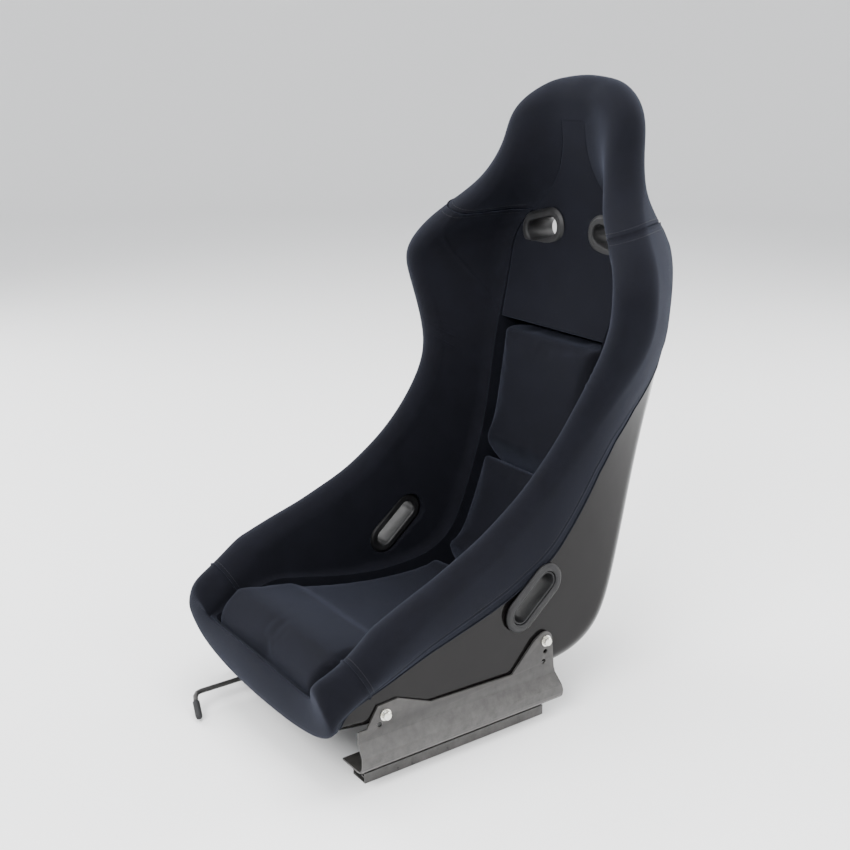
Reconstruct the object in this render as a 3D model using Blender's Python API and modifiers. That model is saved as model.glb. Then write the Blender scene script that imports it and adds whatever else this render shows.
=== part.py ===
"""A fixed-back racing bucket seat on side brackets and slide rails, in Blender.

The glass-fibre shell, the foam pads and the trim are lofts of one set of stations,
which run from the front edge, under the sitter and up the back to the head.
The sitter faces -Y, +Z is up and +X is the sitter's left. Units are metres.
"""
import math

import bmesh
import bpy
import numpy as np
from mathutils import Matrix, Vector

# ---------------------------------------------------------------- driving sizes
HIP_HALF_WIDTH = 0.200      # middle plane to the middle of the shell's side wall
BACK_RISE = 0.825           # shell's lowest line to its top edge
FLOOR_CLEARANCE = 0.098     # ground to the shell's front edge
SHELL_WALL = 0.004
GLUE = 0.0024               # hook-and-loop layer between the shell and the foam
FIT = 0.0005                # gap between pieces that touch
RUN = 0.0008                # gap between pieces that move past each other

BOLT_SPACING = 0.290        # side-mount bolts, front to rear
BOLT_RADIUS = 0.004
BOLT_HEAD_RADIUS = 0.0065
BOLT_HEAD_HEIGHT = 0.0055
WASHER_RADIUS = 0.009
WASHER_THICKNESS = 0.0015
INSERT_RADIUS = 0.0065      # barrel laminated into the shell
INSERT_FLANGE_RADIUS = 0.011
INSERT_FLANGE = 0.002
BOLT_FRONT_Z = 0.107
BOLT_REAR_Z = 0.134
BOLT_MIDDLE_Y = 0.009

BRACKET_SHEET = 0.003
BRACKET_FLANGE_Z = 0.0285   # underside of the inward flange
BRACKET_CREASE_Z = 0.075
BRACKET_FLARE = 0.010       # how far the lower part stands outside the upper one
BRACKET_FRONT_Y = -0.180
BRACKET_REAR_Y = 0.184

RAIL_LENGTH = 0.326
RAIL_WIDTH = 0.031
RAIL_SHEET = 0.002
LOWER_RAIL_HEIGHT = 0.0155
UPPER_RAIL_TOP = 0.0205
UPPER_RAIL_WIDTH = 0.017    # the part that stands out of the lower rail
ROLLER_RADIUS = 0.0026
ROLLER_LENGTH = 0.020
CAGE_LENGTH = 0.130
CAGE_THICKNESS = 0.0012
RAIL_BOLT_Y = 0.145         # rail bolts, front and rear of the middle
RAIL_BOLT_RADIUS = 0.003
SPACER_RADIUS = 0.0062
FLOOR_HOLE_Y = 0.135        # holes that bolt a lower rail to the floor, from the middle
FLOOR_HOLE_RADIUS = 0.0043

ROD_RADIUS = 0.004
ROD_X = 0.132               # the release rod lies inside the right rail
ROD_Z = 0.027
ROD_FRONT_Y = -0.270
ROD_REAR_Y = 0.045
GRIP_RADIUS = 0.0055
LATCH_Y = 0.020
LATCH_LENGTH = 0.046
LATCH_SHEET = 0.003
LINK_RISE = 0.017           # the link wire above the rods

SLOT_RING = 0.0155          # how far a slot's plastic ring spreads round its hole
SLEEVE_WALL = 0.003
RING_HEIGHT = 0.006
SHOULDER_SLOT = (0.074, 0.030)      # hole length and height
SHOULDER_SLOT_X = 0.080
SHOULDER_SLOT_STATION = 16.05
SHOULDER_SLOT_TILT = math.radians(14.0)
LAP_SLOT = (0.088, 0.026)
LAP_SLOT_PLACE = (0.130, 0.210)     # y and z of its middle
LAP_SLOT_TILT = math.radians(41.0)

HEM_THICKNESS = 0.003       # cover at its edge on the outside of the shell
LIP_INNER = 0.012           # front roll above the shell's front edge
LIP_UNDER = 0.034
LIP_BEYOND = 0.028
CUSHION_NOSE = 0.030

# One row a station: centre y, centre z; rim y, rim z, rim x outside the hip line;
# shell corner inside the hip line, its fillet; pad thickness at the middle,
# pad corner inside the hip line, its fillet; rim foam inside and outside.
STATIONS = (
    (-0.225, 0.098, -0.225, 0.128, -0.012, 0.004, 0.015, 0.074, 0.036, 0.010, 0.030, 0.030),
    (-0.165, 0.092, -0.200, 0.165, 0.003, 0.000, 0.018, 0.098, 0.036, 0.012, 0.033, 0.030),
    (-0.090, 0.087, -0.150, 0.200, 0.003, 0.000, 0.020, 0.100, 0.036, 0.012, 0.035, 0.027),
    (-0.010, 0.084, -0.085, 0.228, 0.000, 0.000, 0.022, 0.080, 0.036, 0.014, 0.035, 0.022),
    (0.070, 0.083, -0.018, 0.254, -0.003, 0.000, 0.022, 0.062, 0.037, 0.016, 0.034, 0.017),
    (0.150, 0.083, 0.036, 0.278, -0.005, 0.000, 0.022, 0.062, 0.040, 0.018, 0.033, 0.014),
    (0.222, 0.088, 0.080, 0.302, -0.007, 0.000, 0.024, 0.070, 0.046, 0.020, 0.033, 0.013),
    (0.274, 0.115, 0.117, 0.327, -0.007, 0.000, 0.032, 0.082, 0.055, 0.022, 0.033, 0.013),
    (0.298, 0.160, 0.150, 0.355, -0.007, 0.002, 0.035, 0.092, 0.060, 0.024, 0.033, 0.013),
    (0.320, 0.220, 0.182, 0.387, -0.006, 0.008, 0.038, 0.091, 0.062, 0.025, 0.033, 0.013),
    (0.344, 0.290, 0.212, 0.424, -0.003, 0.018, 0.040, 0.086, 0.062, 0.025, 0.033, 0.013),
    (0.369, 0.360, 0.238, 0.463, 0.000, 0.030, 0.042, 0.091, 0.062, 0.026, 0.033, 0.014),
    (0.394, 0.430, 0.256, 0.505, 0.010, 0.040, 0.045, 0.098, 0.062, 0.028, 0.033, 0.018),
    (0.416, 0.500, 0.263, 0.555, 0.032, 0.046, 0.050, 0.103, 0.060, 0.034, 0.034, 0.024),
    (0.430, 0.570, 0.260, 0.605, 0.055, 0.050, 0.055, 0.097, 0.052, 0.042, 0.035, 0.028),
    (0.430, 0.640, 0.252, 0.652, 0.065, 0.050, 0.055, 0.074, 0.036, 0.040, 0.035, 0.028),
    (0.419, 0.700, 0.278, 0.696, 0.036, 0.044, 0.045, 0.043, 0.022, 0.030, 0.035, 0.028),
    (0.413, 0.765, 0.316, 0.752, -0.040, 0.066, 0.035, 0.038, 0.076, 0.030, 0.033, 0.028),
    (0.408, 0.830, 0.336, 0.820, -0.069, 0.098, 0.032, 0.044, 0.112, 0.035, 0.030, 0.028),
    (0.401, 0.890, 0.350, 0.880, -0.077, 0.104, 0.032, 0.047, 0.118, 0.035, 0.029, 0.028),
    (0.393, 0.923, 0.360, 0.915, -0.086, 0.110, 0.032, 0.045, 0.124, 0.035, 0.028, 0.026),
)
LAST = len(STATIONS) - 1
LOW = 3.0                   # the station whose middle line is the lowest datum
FLAT_SHARE = 0.40           # share of the crosswise parameter on the flat, the bend, the wall
BEND_SHARE = 0.25
FRONT_REACH = 0.80          # how much of the crosswise run the front edge keeps
TOP_REACH = 0.62
CORNER_SPAN = 1.0           # stations taken by a rounded corner of the shell
CUSHION_END = 5.75          # stations where one pad ends and the next starts
LOWER_PAD = (6.35, 9.75)
LUMBAR_PAD = (9.80, 13.30)
UPPER_PAD = (13.35, 18.95)
SHOULDER_SEAM = 16.50
SEAM_GAP = 0.013            # in crosswise parameter, half the gap between two pads
ROLL_BEYOND = 0.029         # how far the rim foam stands past the shell's edge

SEAT = bpy.data.collections.new("racing_seat")
CUTTERS = bpy.data.collections.new("cutters")

FINISHES = {
    "shell_gelcoat": ((0.008, 0.008, 0.009), 0.0, 0.08),
    "cover_fabric": ((0.010, 0.011, 0.018), 0.0, 0.90),
    "pad_fabric": ((0.012, 0.013, 0.020), 0.0, 0.92),
    "ring_plastic": ((0.015, 0.015, 0.016), 0.0, 0.50),
    "bracket_black": ((0.020, 0.020, 0.021), 0.6, 0.42),
    "rail_black": ((0.018, 0.018, 0.019), 0.7, 0.38),
    "zinc": ((0.70, 0.70, 0.68), 1.0, 0.30),
    "steel": ((0.35, 0.35, 0.36), 1.0, 0.35),
    "grip_plastic": ((0.012, 0.012, 0.013), 0.0, 0.60),
}


def start_scene():
    """Empty the scene, link the two collections and make the materials."""
    for thing in list(bpy.data.objects):
        bpy.data.objects.remove(thing, do_unlink=True)
    for group in (SEAT, CUTTERS):
        bpy.context.scene.collection.children.link(group)
    for name, (colour, metallic, roughness) in FINISHES.items():
        finish = bpy.data.materials.new(name)
        finish.use_nodes = True
        shader = finish.node_tree.nodes["Principled BSDF"]
        shader.inputs["Base Color"].default_value = (*colour, 1.0)
        shader.inputs["Metallic"].default_value = metallic
        shader.inputs["Roughness"].default_value = roughness


def empty(name, place=(0.0, 0.0, 0.0), parent=None):
    """An empty that carries the pieces of one moving body."""
    node = bpy.data.objects.new(name, None)
    node.location = Vector(place)
    if parent:
        node.location -= parent_place(parent)
        node.parent = parent
    SEAT.objects.link(node)
    return node


def parent_place(node):
    """Where a parent stands, from the locations of its own parents."""
    place = Vector((0.0, 0.0, 0.0))
    while node:
        place += node.location
        node = node.parent
    return place


def piece(name, mesh, finish, parent, smooth=40.0):
    """A named object from a mesh in overall coordinates, under its body's empty."""
    thing = bpy.data.objects.new(name, mesh)
    mesh.materials.append(bpy.data.materials[finish])
    mesh.shade_smooth()
    mesh.set_sharp_from_angle(angle=math.radians(smooth))
    place = parent_place(parent)
    thing.parent = parent
    mesh.transform(Matrix.Translation(-place))
    SEAT.objects.link(thing)
    return thing


def mesh_from(name, points, faces, recalc=True):
    """A mesh from points and faces, doubles merged, faces turned outward.

    A half that is open at the middle plane has the volume that its closed half
    would have, because that plane holds the origin, so the sign still tells.
    """
    mesh = bpy.data.meshes.new(name)
    mesh.from_pydata([tuple(map(float, p)) for p in points], [], faces)
    work = bmesh.new()
    work.from_mesh(mesh)
    bmesh.ops.remove_doubles(work, verts=work.verts, dist=1e-6)
    if recalc:
        bmesh.ops.recalc_face_normals(work, faces=work.faces)
        if work.calc_volume(signed=True) < 0:
            bmesh.ops.reverse_faces(work, faces=work.faces)
    work.to_mesh(mesh)
    work.free()
    return mesh


def zipped(size, split, base):
    """Triangles that fill a loop by joining its first points to the rest, run backwards."""
    one = list(range(split))
    two = list(range(size - 1, split - 1, -1))
    i = j = 0
    faces = []
    while i < len(one) - 1 or j < len(two) - 1:
        if j == len(two) - 1 or (i < len(one) - 1 and i * (len(two) - 1) <= j * (len(one) - 1)):
            faces.append((base + one[i], base + one[i + 1], base + two[j]))
            i += 1
        else:
            faces.append((base + one[i], base + two[j + 1], base + two[j]))
            j += 1
    return faces


def loft(name, loops, close_start=True, close_end=True, split=None):
    """Join closed loops of equally many points into a tube.

    An end is one flat face, or a strip between the loop's two runs when split is
    given: the number of points in the first run.
    """
    count, size = loops.shape[:2]
    points = loops.reshape(-1, 3)
    faces = []
    for i in range(count - 1):
        for j in range(size):
            k = (j + 1) % size
            faces.append((i * size + j, i * size + k, (i + 1) * size + k, (i + 1) * size + j))
    for close, base in ((close_start, 0), (close_end, (count - 1) * size)):
        if close and split:
            faces += zipped(size, split, base)
        elif close:
            faces.append(tuple(range(base, base + size)))
    return mesh_from(name, points, faces)


def sheet(name, grid):
    """An open surface from a grid of points."""
    rows, columns = grid.shape[:2]
    faces = []
    for i in range(rows - 1):
        for j in range(columns - 1):
            k = i * columns + j
            faces.append((k, k + 1, k + columns + 1, k + columns))
    return mesh_from(name, grid.reshape(-1, 3), faces, recalc=False)


def mirror(thing):
    """Complete a half that is open at the middle plane."""
    step = thing.modifiers.new("mirror", "MIRROR")
    step.use_clip = True
    step.merge_threshold = 0.0001


def cut(thing, cutter):
    """Cut a piece with a closed cutter, kept live as a Boolean."""
    step = thing.modifiers.new("cut_" + cutter.name, "BOOLEAN")
    step.operation = "DIFFERENCE"
    step.object = cutter


def cutter_object(name, mesh, parent=None):
    """A cutter in its own collection, hidden from renders."""
    thing = bpy.data.objects.new(name, mesh)
    if parent:
        mesh.transform(Matrix.Translation(-parent_place(parent)))
        thing.parent = parent
    CUTTERS.objects.link(thing)
    thing.hide_render = True
    thing.display_type = "WIRE"
    return thing


# ---------------------------------------------------------------- the seat's form
def station_values():
    """The stations with the driving sizes worked in."""
    rows = np.array(STATIONS)
    low, high = rows[:, 1].min(), rows[-1, 1]
    stretch = (BACK_RISE) / (high - rows[0, 1])
    lift = FLOOR_CLEARANCE - rows[0, 1]
    for column in (1, 3):
        above = np.maximum(rows[:, column] - rows[0, 1], 0.0)
        rows[:, column] += above * (stretch - 1.0) + lift
    rows[:, 4] = HIP_HALF_WIDTH + rows[:, 4]
    rows[:, 5] = HIP_HALF_WIDTH - rows[:, 5]
    rows[:, 8] = HIP_HALF_WIDTH - rows[:, 8]
    return rows


FORM = station_values()


def smooth_rows(u):
    """Uniform cubic B-spline through the station rows, straight past its ends."""
    u = np.atleast_1d(np.asarray(u, float))
    rows = np.vstack([2 * FORM[0] - FORM[1], FORM, 2 * FORM[-1] - FORM[-2]])
    inside = np.clip(u, 0.0, LAST)
    first = np.minimum(inside.astype(int), LAST - 1)
    t = (inside - first)[:, None]
    a, b, c, d = (rows[first + k] for k in range(4))
    value = ((1 - t) ** 3 * a + (3 * t ** 3 - 6 * t ** 2 + 4) * b
             + (-3 * t ** 3 + 3 * t ** 2 + 3 * t + 1) * c + t ** 3 * d) / 6.0
    slope = (-(1 - t) ** 2 * a + (3 * t ** 2 - 4 * t) * b
             + (-3 * t ** 2 + 2 * t + 1) * c + t ** 2 * d) / 2.0
    return value + slope * (u - inside)[:, None]


def along(start, corner, end, radius, v):
    """Point at parameter v on a two-leg path whose corner has a fillet."""
    first, second = corner - start, end - corner
    long_one = np.linalg.norm(first, axis=1)
    long_two = np.linalg.norm(second, axis=1)
    one = first / long_one[:, None]
    two = second / long_two[:, None]
    turn = np.arccos(np.clip((one * two).sum(1), -1.0, 1.0))
    back = np.minimum(radius * np.tan(turn / 2), 0.45 * np.minimum(long_one, long_two))
    radius = back / np.tan(turn / 2)
    side = np.stack([-one[:, 1], one[:, 0]], 1)
    centre = corner - one * back[:, None] + side * radius[:, None]
    flat = np.clip(v / FLAT_SHARE, 0.0, 1.0)
    bend = np.clip((v - FLAT_SHARE) / BEND_SHARE, 0.0, 1.0)
    wall = (v - FLAT_SHARE - BEND_SHARE) / (1 - FLAT_SHARE - BEND_SHARE)
    angle = bend * turn
    on_flat = start + one * (flat * (long_one - back))[:, None]
    on_bend = (centre + one * (radius * np.sin(angle))[:, None]
               - side * (radius * np.cos(angle))[:, None])
    on_wall = corner + two * (back + np.maximum(wall, 0.0) * (long_two - back))[:, None]
    place = np.where((bend > 0)[:, None], on_bend, on_flat)
    return np.where((wall > 0)[:, None], on_wall, place)


def form_point(u, v, pad):
    """Point of the shell's middle surface, or of the pads' face, at station u."""
    u, v = np.broadcast_arrays(np.asarray(u, float), np.asarray(v, float))
    shape = u.shape
    row = smooth_rows(u.ravel())
    sign = np.where(v.ravel() < 0, -1.0, 1.0)
    across = np.abs(v.ravel())
    centre, rim = row[:, 0:2], row[:, 2:4]
    depth = np.linalg.norm(rim - centre, axis=1)
    upward = (rim - centre) / depth[:, None]
    zero = np.zeros_like(depth)
    start = np.stack([zero, zero], 1)
    corner = np.stack([row[:, 5], zero], 1)
    end = np.stack([row[:, 4], depth], 1)
    radius = row[:, 6]
    if pad:
        wall = end - corner
        wall = wall / np.linalg.norm(wall, axis=1)[:, None]
        inward = np.stack([-wall[:, 1], wall[:, 0]], 1)
        end = end + inward * row[:, 10][:, None]
        start = np.stack([zero, row[:, 7]], 1)
        corner = np.stack([row[:, 8], row[:, 7]], 1)
        radius = row[:, 9]
    flat = along(start, corner, end, radius, across)
    place = np.stack([flat[:, 0] * sign,
                      centre[:, 0] + flat[:, 1] * upward[:, 0],
                      centre[:, 1] + flat[:, 1] * upward[:, 1]], 1)
    return place.reshape(*shape, 3)


def unit(vectors):
    """Vectors scaled to length one."""
    return vectors / np.linalg.norm(vectors, axis=-1, keepdims=True)


def form_normal(u, v, pad=False, step=0.01):
    """Unit normal on the sitter's side, from differences across and along."""
    u, v = np.broadcast_arrays(np.asarray(u, float), np.asarray(v, float))
    across = form_point(u, v + step, pad) - form_point(u, v - step, pad)
    onward = form_point(u + step, v, pad) - form_point(u - step, v, pad)
    return unit(np.cross(across, onward))


def shell_at(u, v, offset=0.0):
    """The shell's middle surface moved along its normal, inward when positive."""
    return form_point(u, v, False) + form_normal(u, v) * np.asarray(offset)[..., None]


def under(u, v):
    """The shell's parameter that lies under the pads' face at the same width."""
    pad_flat = form_point(u, FLAT_SHARE, True)[..., 0]
    shell_flat = form_point(u, FLAT_SHARE, False)[..., 0]
    return np.asarray(v) * pad_flat / shell_flat


def reach(u):
    """How far across the shell goes, one on the sides and less round its corners."""
    u = np.asarray(u, float)
    front = np.clip((CORNER_SPAN - u) / CORNER_SPAN, 0.0, 1.0)
    top = np.clip((u - LAST + CORNER_SPAN) / CORNER_SPAN, 0.0, 1.0)
    return (FRONT_REACH + (1 - FRONT_REACH) * np.sqrt(1 - front ** 2)
            - (1 - TOP_REACH) * (1 - np.sqrt(1 - top ** 2)))


def rim_foam(u, column):
    """Foam thickness at the rim, inside (10) or outside (11), at station u."""
    return smooth_rows(np.ravel(u))[:, column].reshape(np.shape(u))


def marks(start, end):
    """Stations where every piece has a section, so that neighbours' facets agree."""
    corner = CORNER_SPAN * (1 - np.cos(np.linspace(0.0, math.pi / 2, 5)))
    every = np.concatenate([corner, np.arange(CORNER_SPAN + 0.5, LAST - CORNER_SPAN, 0.5),
                            LAST - corner[::-1]])
    within = every[(every > start + 0.08) & (every < end - 0.08)]
    return np.concatenate([[start], within, [end]])


ACROSS = np.array([0.0, 0.20, FLAT_SHARE, 0.46, 0.525, 0.59, FLAT_SHARE + BEND_SHARE,
                   0.80, 0.90, 1.0])


def make_shell(body):
    """Half the shell's middle surface, mirrored and given its wall."""
    u = marks(0.0, LAST)[:, None]
    grid = form_point(u, ACROSS[None, :] * reach(u), False)
    grid[:, 0, 0] = 0.0
    shell = piece("seat_shell", sheet("seat_shell", grid), "shell_gelcoat", body)
    mirror(shell)
    wall = shell.modifiers.new("wall", "SOLIDIFY")
    wall.thickness = SHELL_WALL
    wall.offset = 0.0
    wall.use_even_offset = False
    return shell


def run_between(first, last, follow):
    """Pairs (station, across) from one to the other, stopping at the marks to follow."""
    if follow is None:
        share = np.linspace(0.0, 1.0, 7)
    else:
        share = np.clip((follow - first[1]) / (last[1] - first[1]), 0.0, 1.0)
        share = np.sort(np.concatenate([[0.0], share, [1.0]]))
    return first[0] + (last[0] - first[0]) * share, first[1] + (last[1] - first[1]) * share


OUTER_RUN = 14              # points of a rim section before it turns back under the cover


def rim_loop(edge, inner, hem, foam_out, beyond, lip=None, follow=None):
    """One closed section of a pad that wraps round the shell's edge.

    edge, inner and hem are (station, across) pairs: the shell's edge, the seam on
    the sitter's side and the cover's hem on the outside.
    """
    skin = SHELL_WALL / 2 + GLUE
    t = np.linspace(0.0, 1.0, 5)
    face_u = inner[0] + (edge[0] - inner[0]) * t
    face_v = inner[1] + (edge[1] - inner[1]) * t
    if lip is None:
        face = form_point(face_u, face_v, True)
    else:
        face = shell_at(face_u, face_v, np.full(5, lip))
    rim = shell_at(edge[0], edge[1])
    normal = form_normal(*edge)
    near = shell_at(edge[0] + 0.03 * (inner[0] - edge[0]), edge[1] + 0.03 * (inner[1] - edge[1]))
    outward = rim - near
    outward = unit(outward - normal * (outward @ normal))
    outer = rim - normal * (SHELL_WALL / 2 + foam_out)
    middle, half = (face[-1] + outer) / 2, (face[-1] - outer) / 2
    angle = np.linspace(0.0, math.pi, 7)[1:-1, None]
    roll = middle + half * np.cos(angle) + outward * beyond * np.sin(angle)
    t = np.linspace(0.0, 1.0, 4)
    fall = foam_out + (HEM_THICKNESS - foam_out) * t ** 2
    outside = shell_at(edge[0] + (hem[0] - edge[0]) * t, edge[1] + (hem[1] - edge[1]) * t,
                       -(SHELL_WALL / 2 + fall))
    under_hem = shell_at(*run_between(hem, edge, follow), -skin)
    cap = rim + outward * skin + normal * skin * np.array([[-0.6], [0.6]])
    foot = (inner[0], float(under(*inner)))
    under_face = shell_at(*run_between(foot, edge, follow), skin)[::-1]
    return np.vstack([face, roll, outside, under_hem, cap, under_face])


HEM_SHARE = ((0.0, 0.80), (3.0, 0.86), (6.0, 0.88), (8.0, 0.87), (10.0, 0.85), (11.0, 0.82),
             (12.0, 0.76), (13.0, 0.66), (14.0, 0.58), (15.0, 0.55), (16.0, 0.54), (17.0, 0.66))


def make_bolster(name, side, body):
    """The long side pad: thigh, hip, waist and shoulder, round the shell's edge."""
    stations = marks(0.0, SHOULDER_SEAM)
    hems = np.interp(stations, *zip(*HEM_SHARE))
    loops = []
    for u, hem in zip(stations, hems):
        edge = (u, float(reach(u)))
        inner = (u, FLAT_SHARE + SEAM_GAP)
        hem_at = (u, min(hem, edge[1] - 0.1))
        loops.append(rim_loop(edge, inner, hem_at, float(rim_foam(u, 11)), ROLL_BEYOND,
                              follow=ACROSS[3:-1] * edge[1]))
    loops = np.array(loops)
    first = loops[0]
    heart = first.mean(0)
    ahead = unit(np.array([0.0, -1.0, -0.05]))
    nose = []
    for angle in np.radians((75.0, 55.0, 30.0)):
        nose.append(heart + (first - heart) * math.cos(angle) ** 0.6
                    + ahead * (0.002 + ROLL_BEYOND * math.sin(angle)))
    loops = np.vstack([np.array(nose), loops])
    loops[..., 0] *= side
    return piece(name, loft(name, loops, split=OUTER_RUN), "cover_fabric", body)


def block(name, u_range, v_end, finish, body, columns=5):
    """A pad between the shell and the pads' face, half of it, mirrored."""
    skin = SHELL_WALL / 2 + GLUE
    u = marks(*u_range)
    rows = len(u)
    v = np.linspace(0.0, v_end, columns)
    loops = []
    for across in v:
        top = form_point(u, np.full(rows, across), True)
        low = u[::-1]
        bottom = shell_at(low, under(low, across), np.full(rows, skin))
        loops.append(np.vstack([top, bottom]))
    loops = np.array(loops)
    loops[0, :, 0] = 0.0
    thing = piece(name, loft(name, loops, close_start=False, split=rows), finish, body)
    mirror(thing)
    return thing


def make_cushion(body):
    """The seat cushion: raised under the thighs, with a rounded nose over the front roll."""
    skin = SHELL_WALL / 2 + GLUE
    step_at = 0.55
    over_lip = LIP_INNER + 2 * FIT + 0.001
    v = np.linspace(0.0, FLAT_SHARE - SEAM_GAP, 6)
    u_top = marks(0.0, CUSHION_END)[::-1]
    u_low = np.concatenate([[0.0, step_at], marks(step_at + 0.15, CUSHION_END)])
    gap = np.where(u_low <= step_at, over_lip, skin)
    loops = []
    for across in v:
        top = form_point(u_top, across, True)
        bottom = shell_at(u_low, under(u_low, across), gap)
        middle, half = (top[-1] + bottom[0]) / 2, (top[-1] - bottom[0]) / 2
        angle = np.linspace(0.0, math.pi, 7)[1:-1, None]
        nose = (middle + half * np.cos(angle)
                + np.array([0.0, -1.0, 0.0]) * CUSHION_NOSE * np.sin(angle))
        loops.append(np.vstack([top, nose, bottom]))
    loops = np.array(loops)
    loops[0, :, 0] = 0.0
    mesh = loft("seat_cushion", loops, close_start=False, split=len(u_top) + 3)
    thing = piece("seat_cushion", mesh, "pad_fabric", body)
    mirror(thing)
    return thing


def make_front_roll(body):
    """The roll along the shell's front edge, between the two side pads."""
    ends = FLAT_SHARE - SEAM_GAP
    across = under(0.0, np.linspace(0.0, ends, 6))
    loops = [rim_loop((0.0, v), (0.5, v), (0.35, v), LIP_UNDER, LIP_BEYOND, lip=LIP_INNER)
             for v in across]
    loops = np.array(loops)
    loops[0, :, 0] = 0.0
    mesh = loft("front_roll", loops, close_start=False, split=OUTER_RUN)
    thing = piece("front_roll", mesh, "cover_fabric", body)
    mirror(thing)
    return thing


HEAD_START = SHOULDER_SEAM + 0.04
HEAD_EDGE = ((HEAD_START, 1.0), (17.4, 1.0), (18.3, 1.0), (19.0, 1.0), (19.5, 0.95),
             (19.87, 0.81), (20.0, 0.62), (20.0, 0.31), (20.0, 0.0))
HEAD_INNER = ((HEAD_START, 0.41), (17.4, 0.41), (18.2, 0.41), (18.7, 0.415),
              (18.99, 0.41), (19.08, 0.33), (19.08, 0.24), (19.08, 0.12), (19.08, 0.0))
HEAD_HEM = ((HEAD_START, 0.58), (16.9, 0.60), (17.3, 0.60), (17.6, 0.52),
            (17.75, 0.44), (17.85, 0.34), (17.95, 0.22), (18.0, 0.12), (18.0, 0.0))


def trace(knots, count):
    """Points on a smooth curve through a few knots (Catmull and Rom's form)."""
    knots = np.array(knots)
    knots = np.vstack([2 * knots[0] - knots[1], knots, 2 * knots[-1] - knots[-2]])
    place = np.linspace(0.0, len(knots) - 3 - 1e-9, count)
    k = place.astype(int)
    t = (place - k)[:, None]
    a, b, c, d = (knots[k + n] for n in range(4))
    return 0.5 * (2 * b + (c - a) * t + (2 * a - 5 * b + 4 * c - d) * t ** 2
                  + (3 * b - a - 3 * c + d) * t ** 3)


def make_head(body):
    """The head pad, which wraps the top of the shell down to the arch at the back."""
    loops = []
    count = 21
    for edge, inner, hem in zip(trace(HEAD_EDGE, count), trace(HEAD_INNER, count),
                                trace(HEAD_HEM, count)):
        foam = float(rim_foam(edge[0], 11))
        loops.append(rim_loop(edge, inner, hem, foam, ROLL_BEYOND))
    loops = np.array(loops)
    loops[-1, :, 0] = 0.0
    mesh = loft("head_pad", loops, close_end=False, split=OUTER_RUN)
    thing = piece("head_pad", mesh, "cover_fabric", body)
    mirror(thing)
    return thing


# ---------------------------------------------------------------- slots and rings
def stadium(length, height, spread_out=0.0, arc=6):
    """Points round a slot outline with round ends, spread outward by a distance."""
    radius = height / 2 + spread_out
    straight = (length - height) / 2
    angle = np.linspace(-math.pi / 2, math.pi / 2, arc)
    right = np.stack([straight + radius * np.cos(angle), radius * np.sin(angle)], 1)
    return np.vstack([right, -right])


def slot_axes(kind):
    """Middle on the pads' face, long axis, short axis and way out of a slot."""
    if kind == "shoulder":
        v = SHOULDER_SLOT_X / form_point(SHOULDER_SLOT_STATION, FLAT_SHARE, True)[0] * FLAT_SHARE
        middle = form_point(SHOULDER_SLOT_STATION, v, True)
        out = np.array([0.0, -1.0, 0.0])
        long_axis = np.array([math.cos(SHOULDER_SLOT_TILT), 0.0, -math.sin(SHOULDER_SLOT_TILT)])
    else:
        y, z = LAP_SLOT_PLACE
        middle = np.array([HIP_HALF_WIDTH, y, z])
        out = np.array([-1.0, 0.0, 0.0])
        long_axis = np.array([0.0, math.cos(LAP_SLOT_TILT), math.sin(LAP_SLOT_TILT)])
    return middle, long_axis, np.cross(out, long_axis), out


def ring_mesh(name, size, profile, middle, axes, side):
    """Carry a closed profile (outward, along the way out) round a slot outline."""
    long_axis, short_axis, out = axes
    loops = []
    for away, height in profile:
        outline = stadium(*size, spread_out=away)
        ring = (middle + outline[:, :1] * long_axis + outline[:, 1:] * short_axis
                + height * out)
        loops.append(ring)
    loops = np.array(loops)
    loops = np.vstack([loops, loops[:1]])
    loops[..., 0] *= side
    return loft(name, loops, close_start=False, close_end=False)


def prism(name, size, spread_out, low, high, middle, axes, side):
    """A solid slot-shaped cutter."""
    long_axis, short_axis, out = axes
    outline = stadium(*size, spread_out=spread_out)
    flat = middle + outline[:, :1] * long_axis + outline[:, 1:] * short_axis
    loops = np.array([flat + low * out, flat + high * out])
    loops[..., 0] *= side
    return loft(name, loops)


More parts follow.
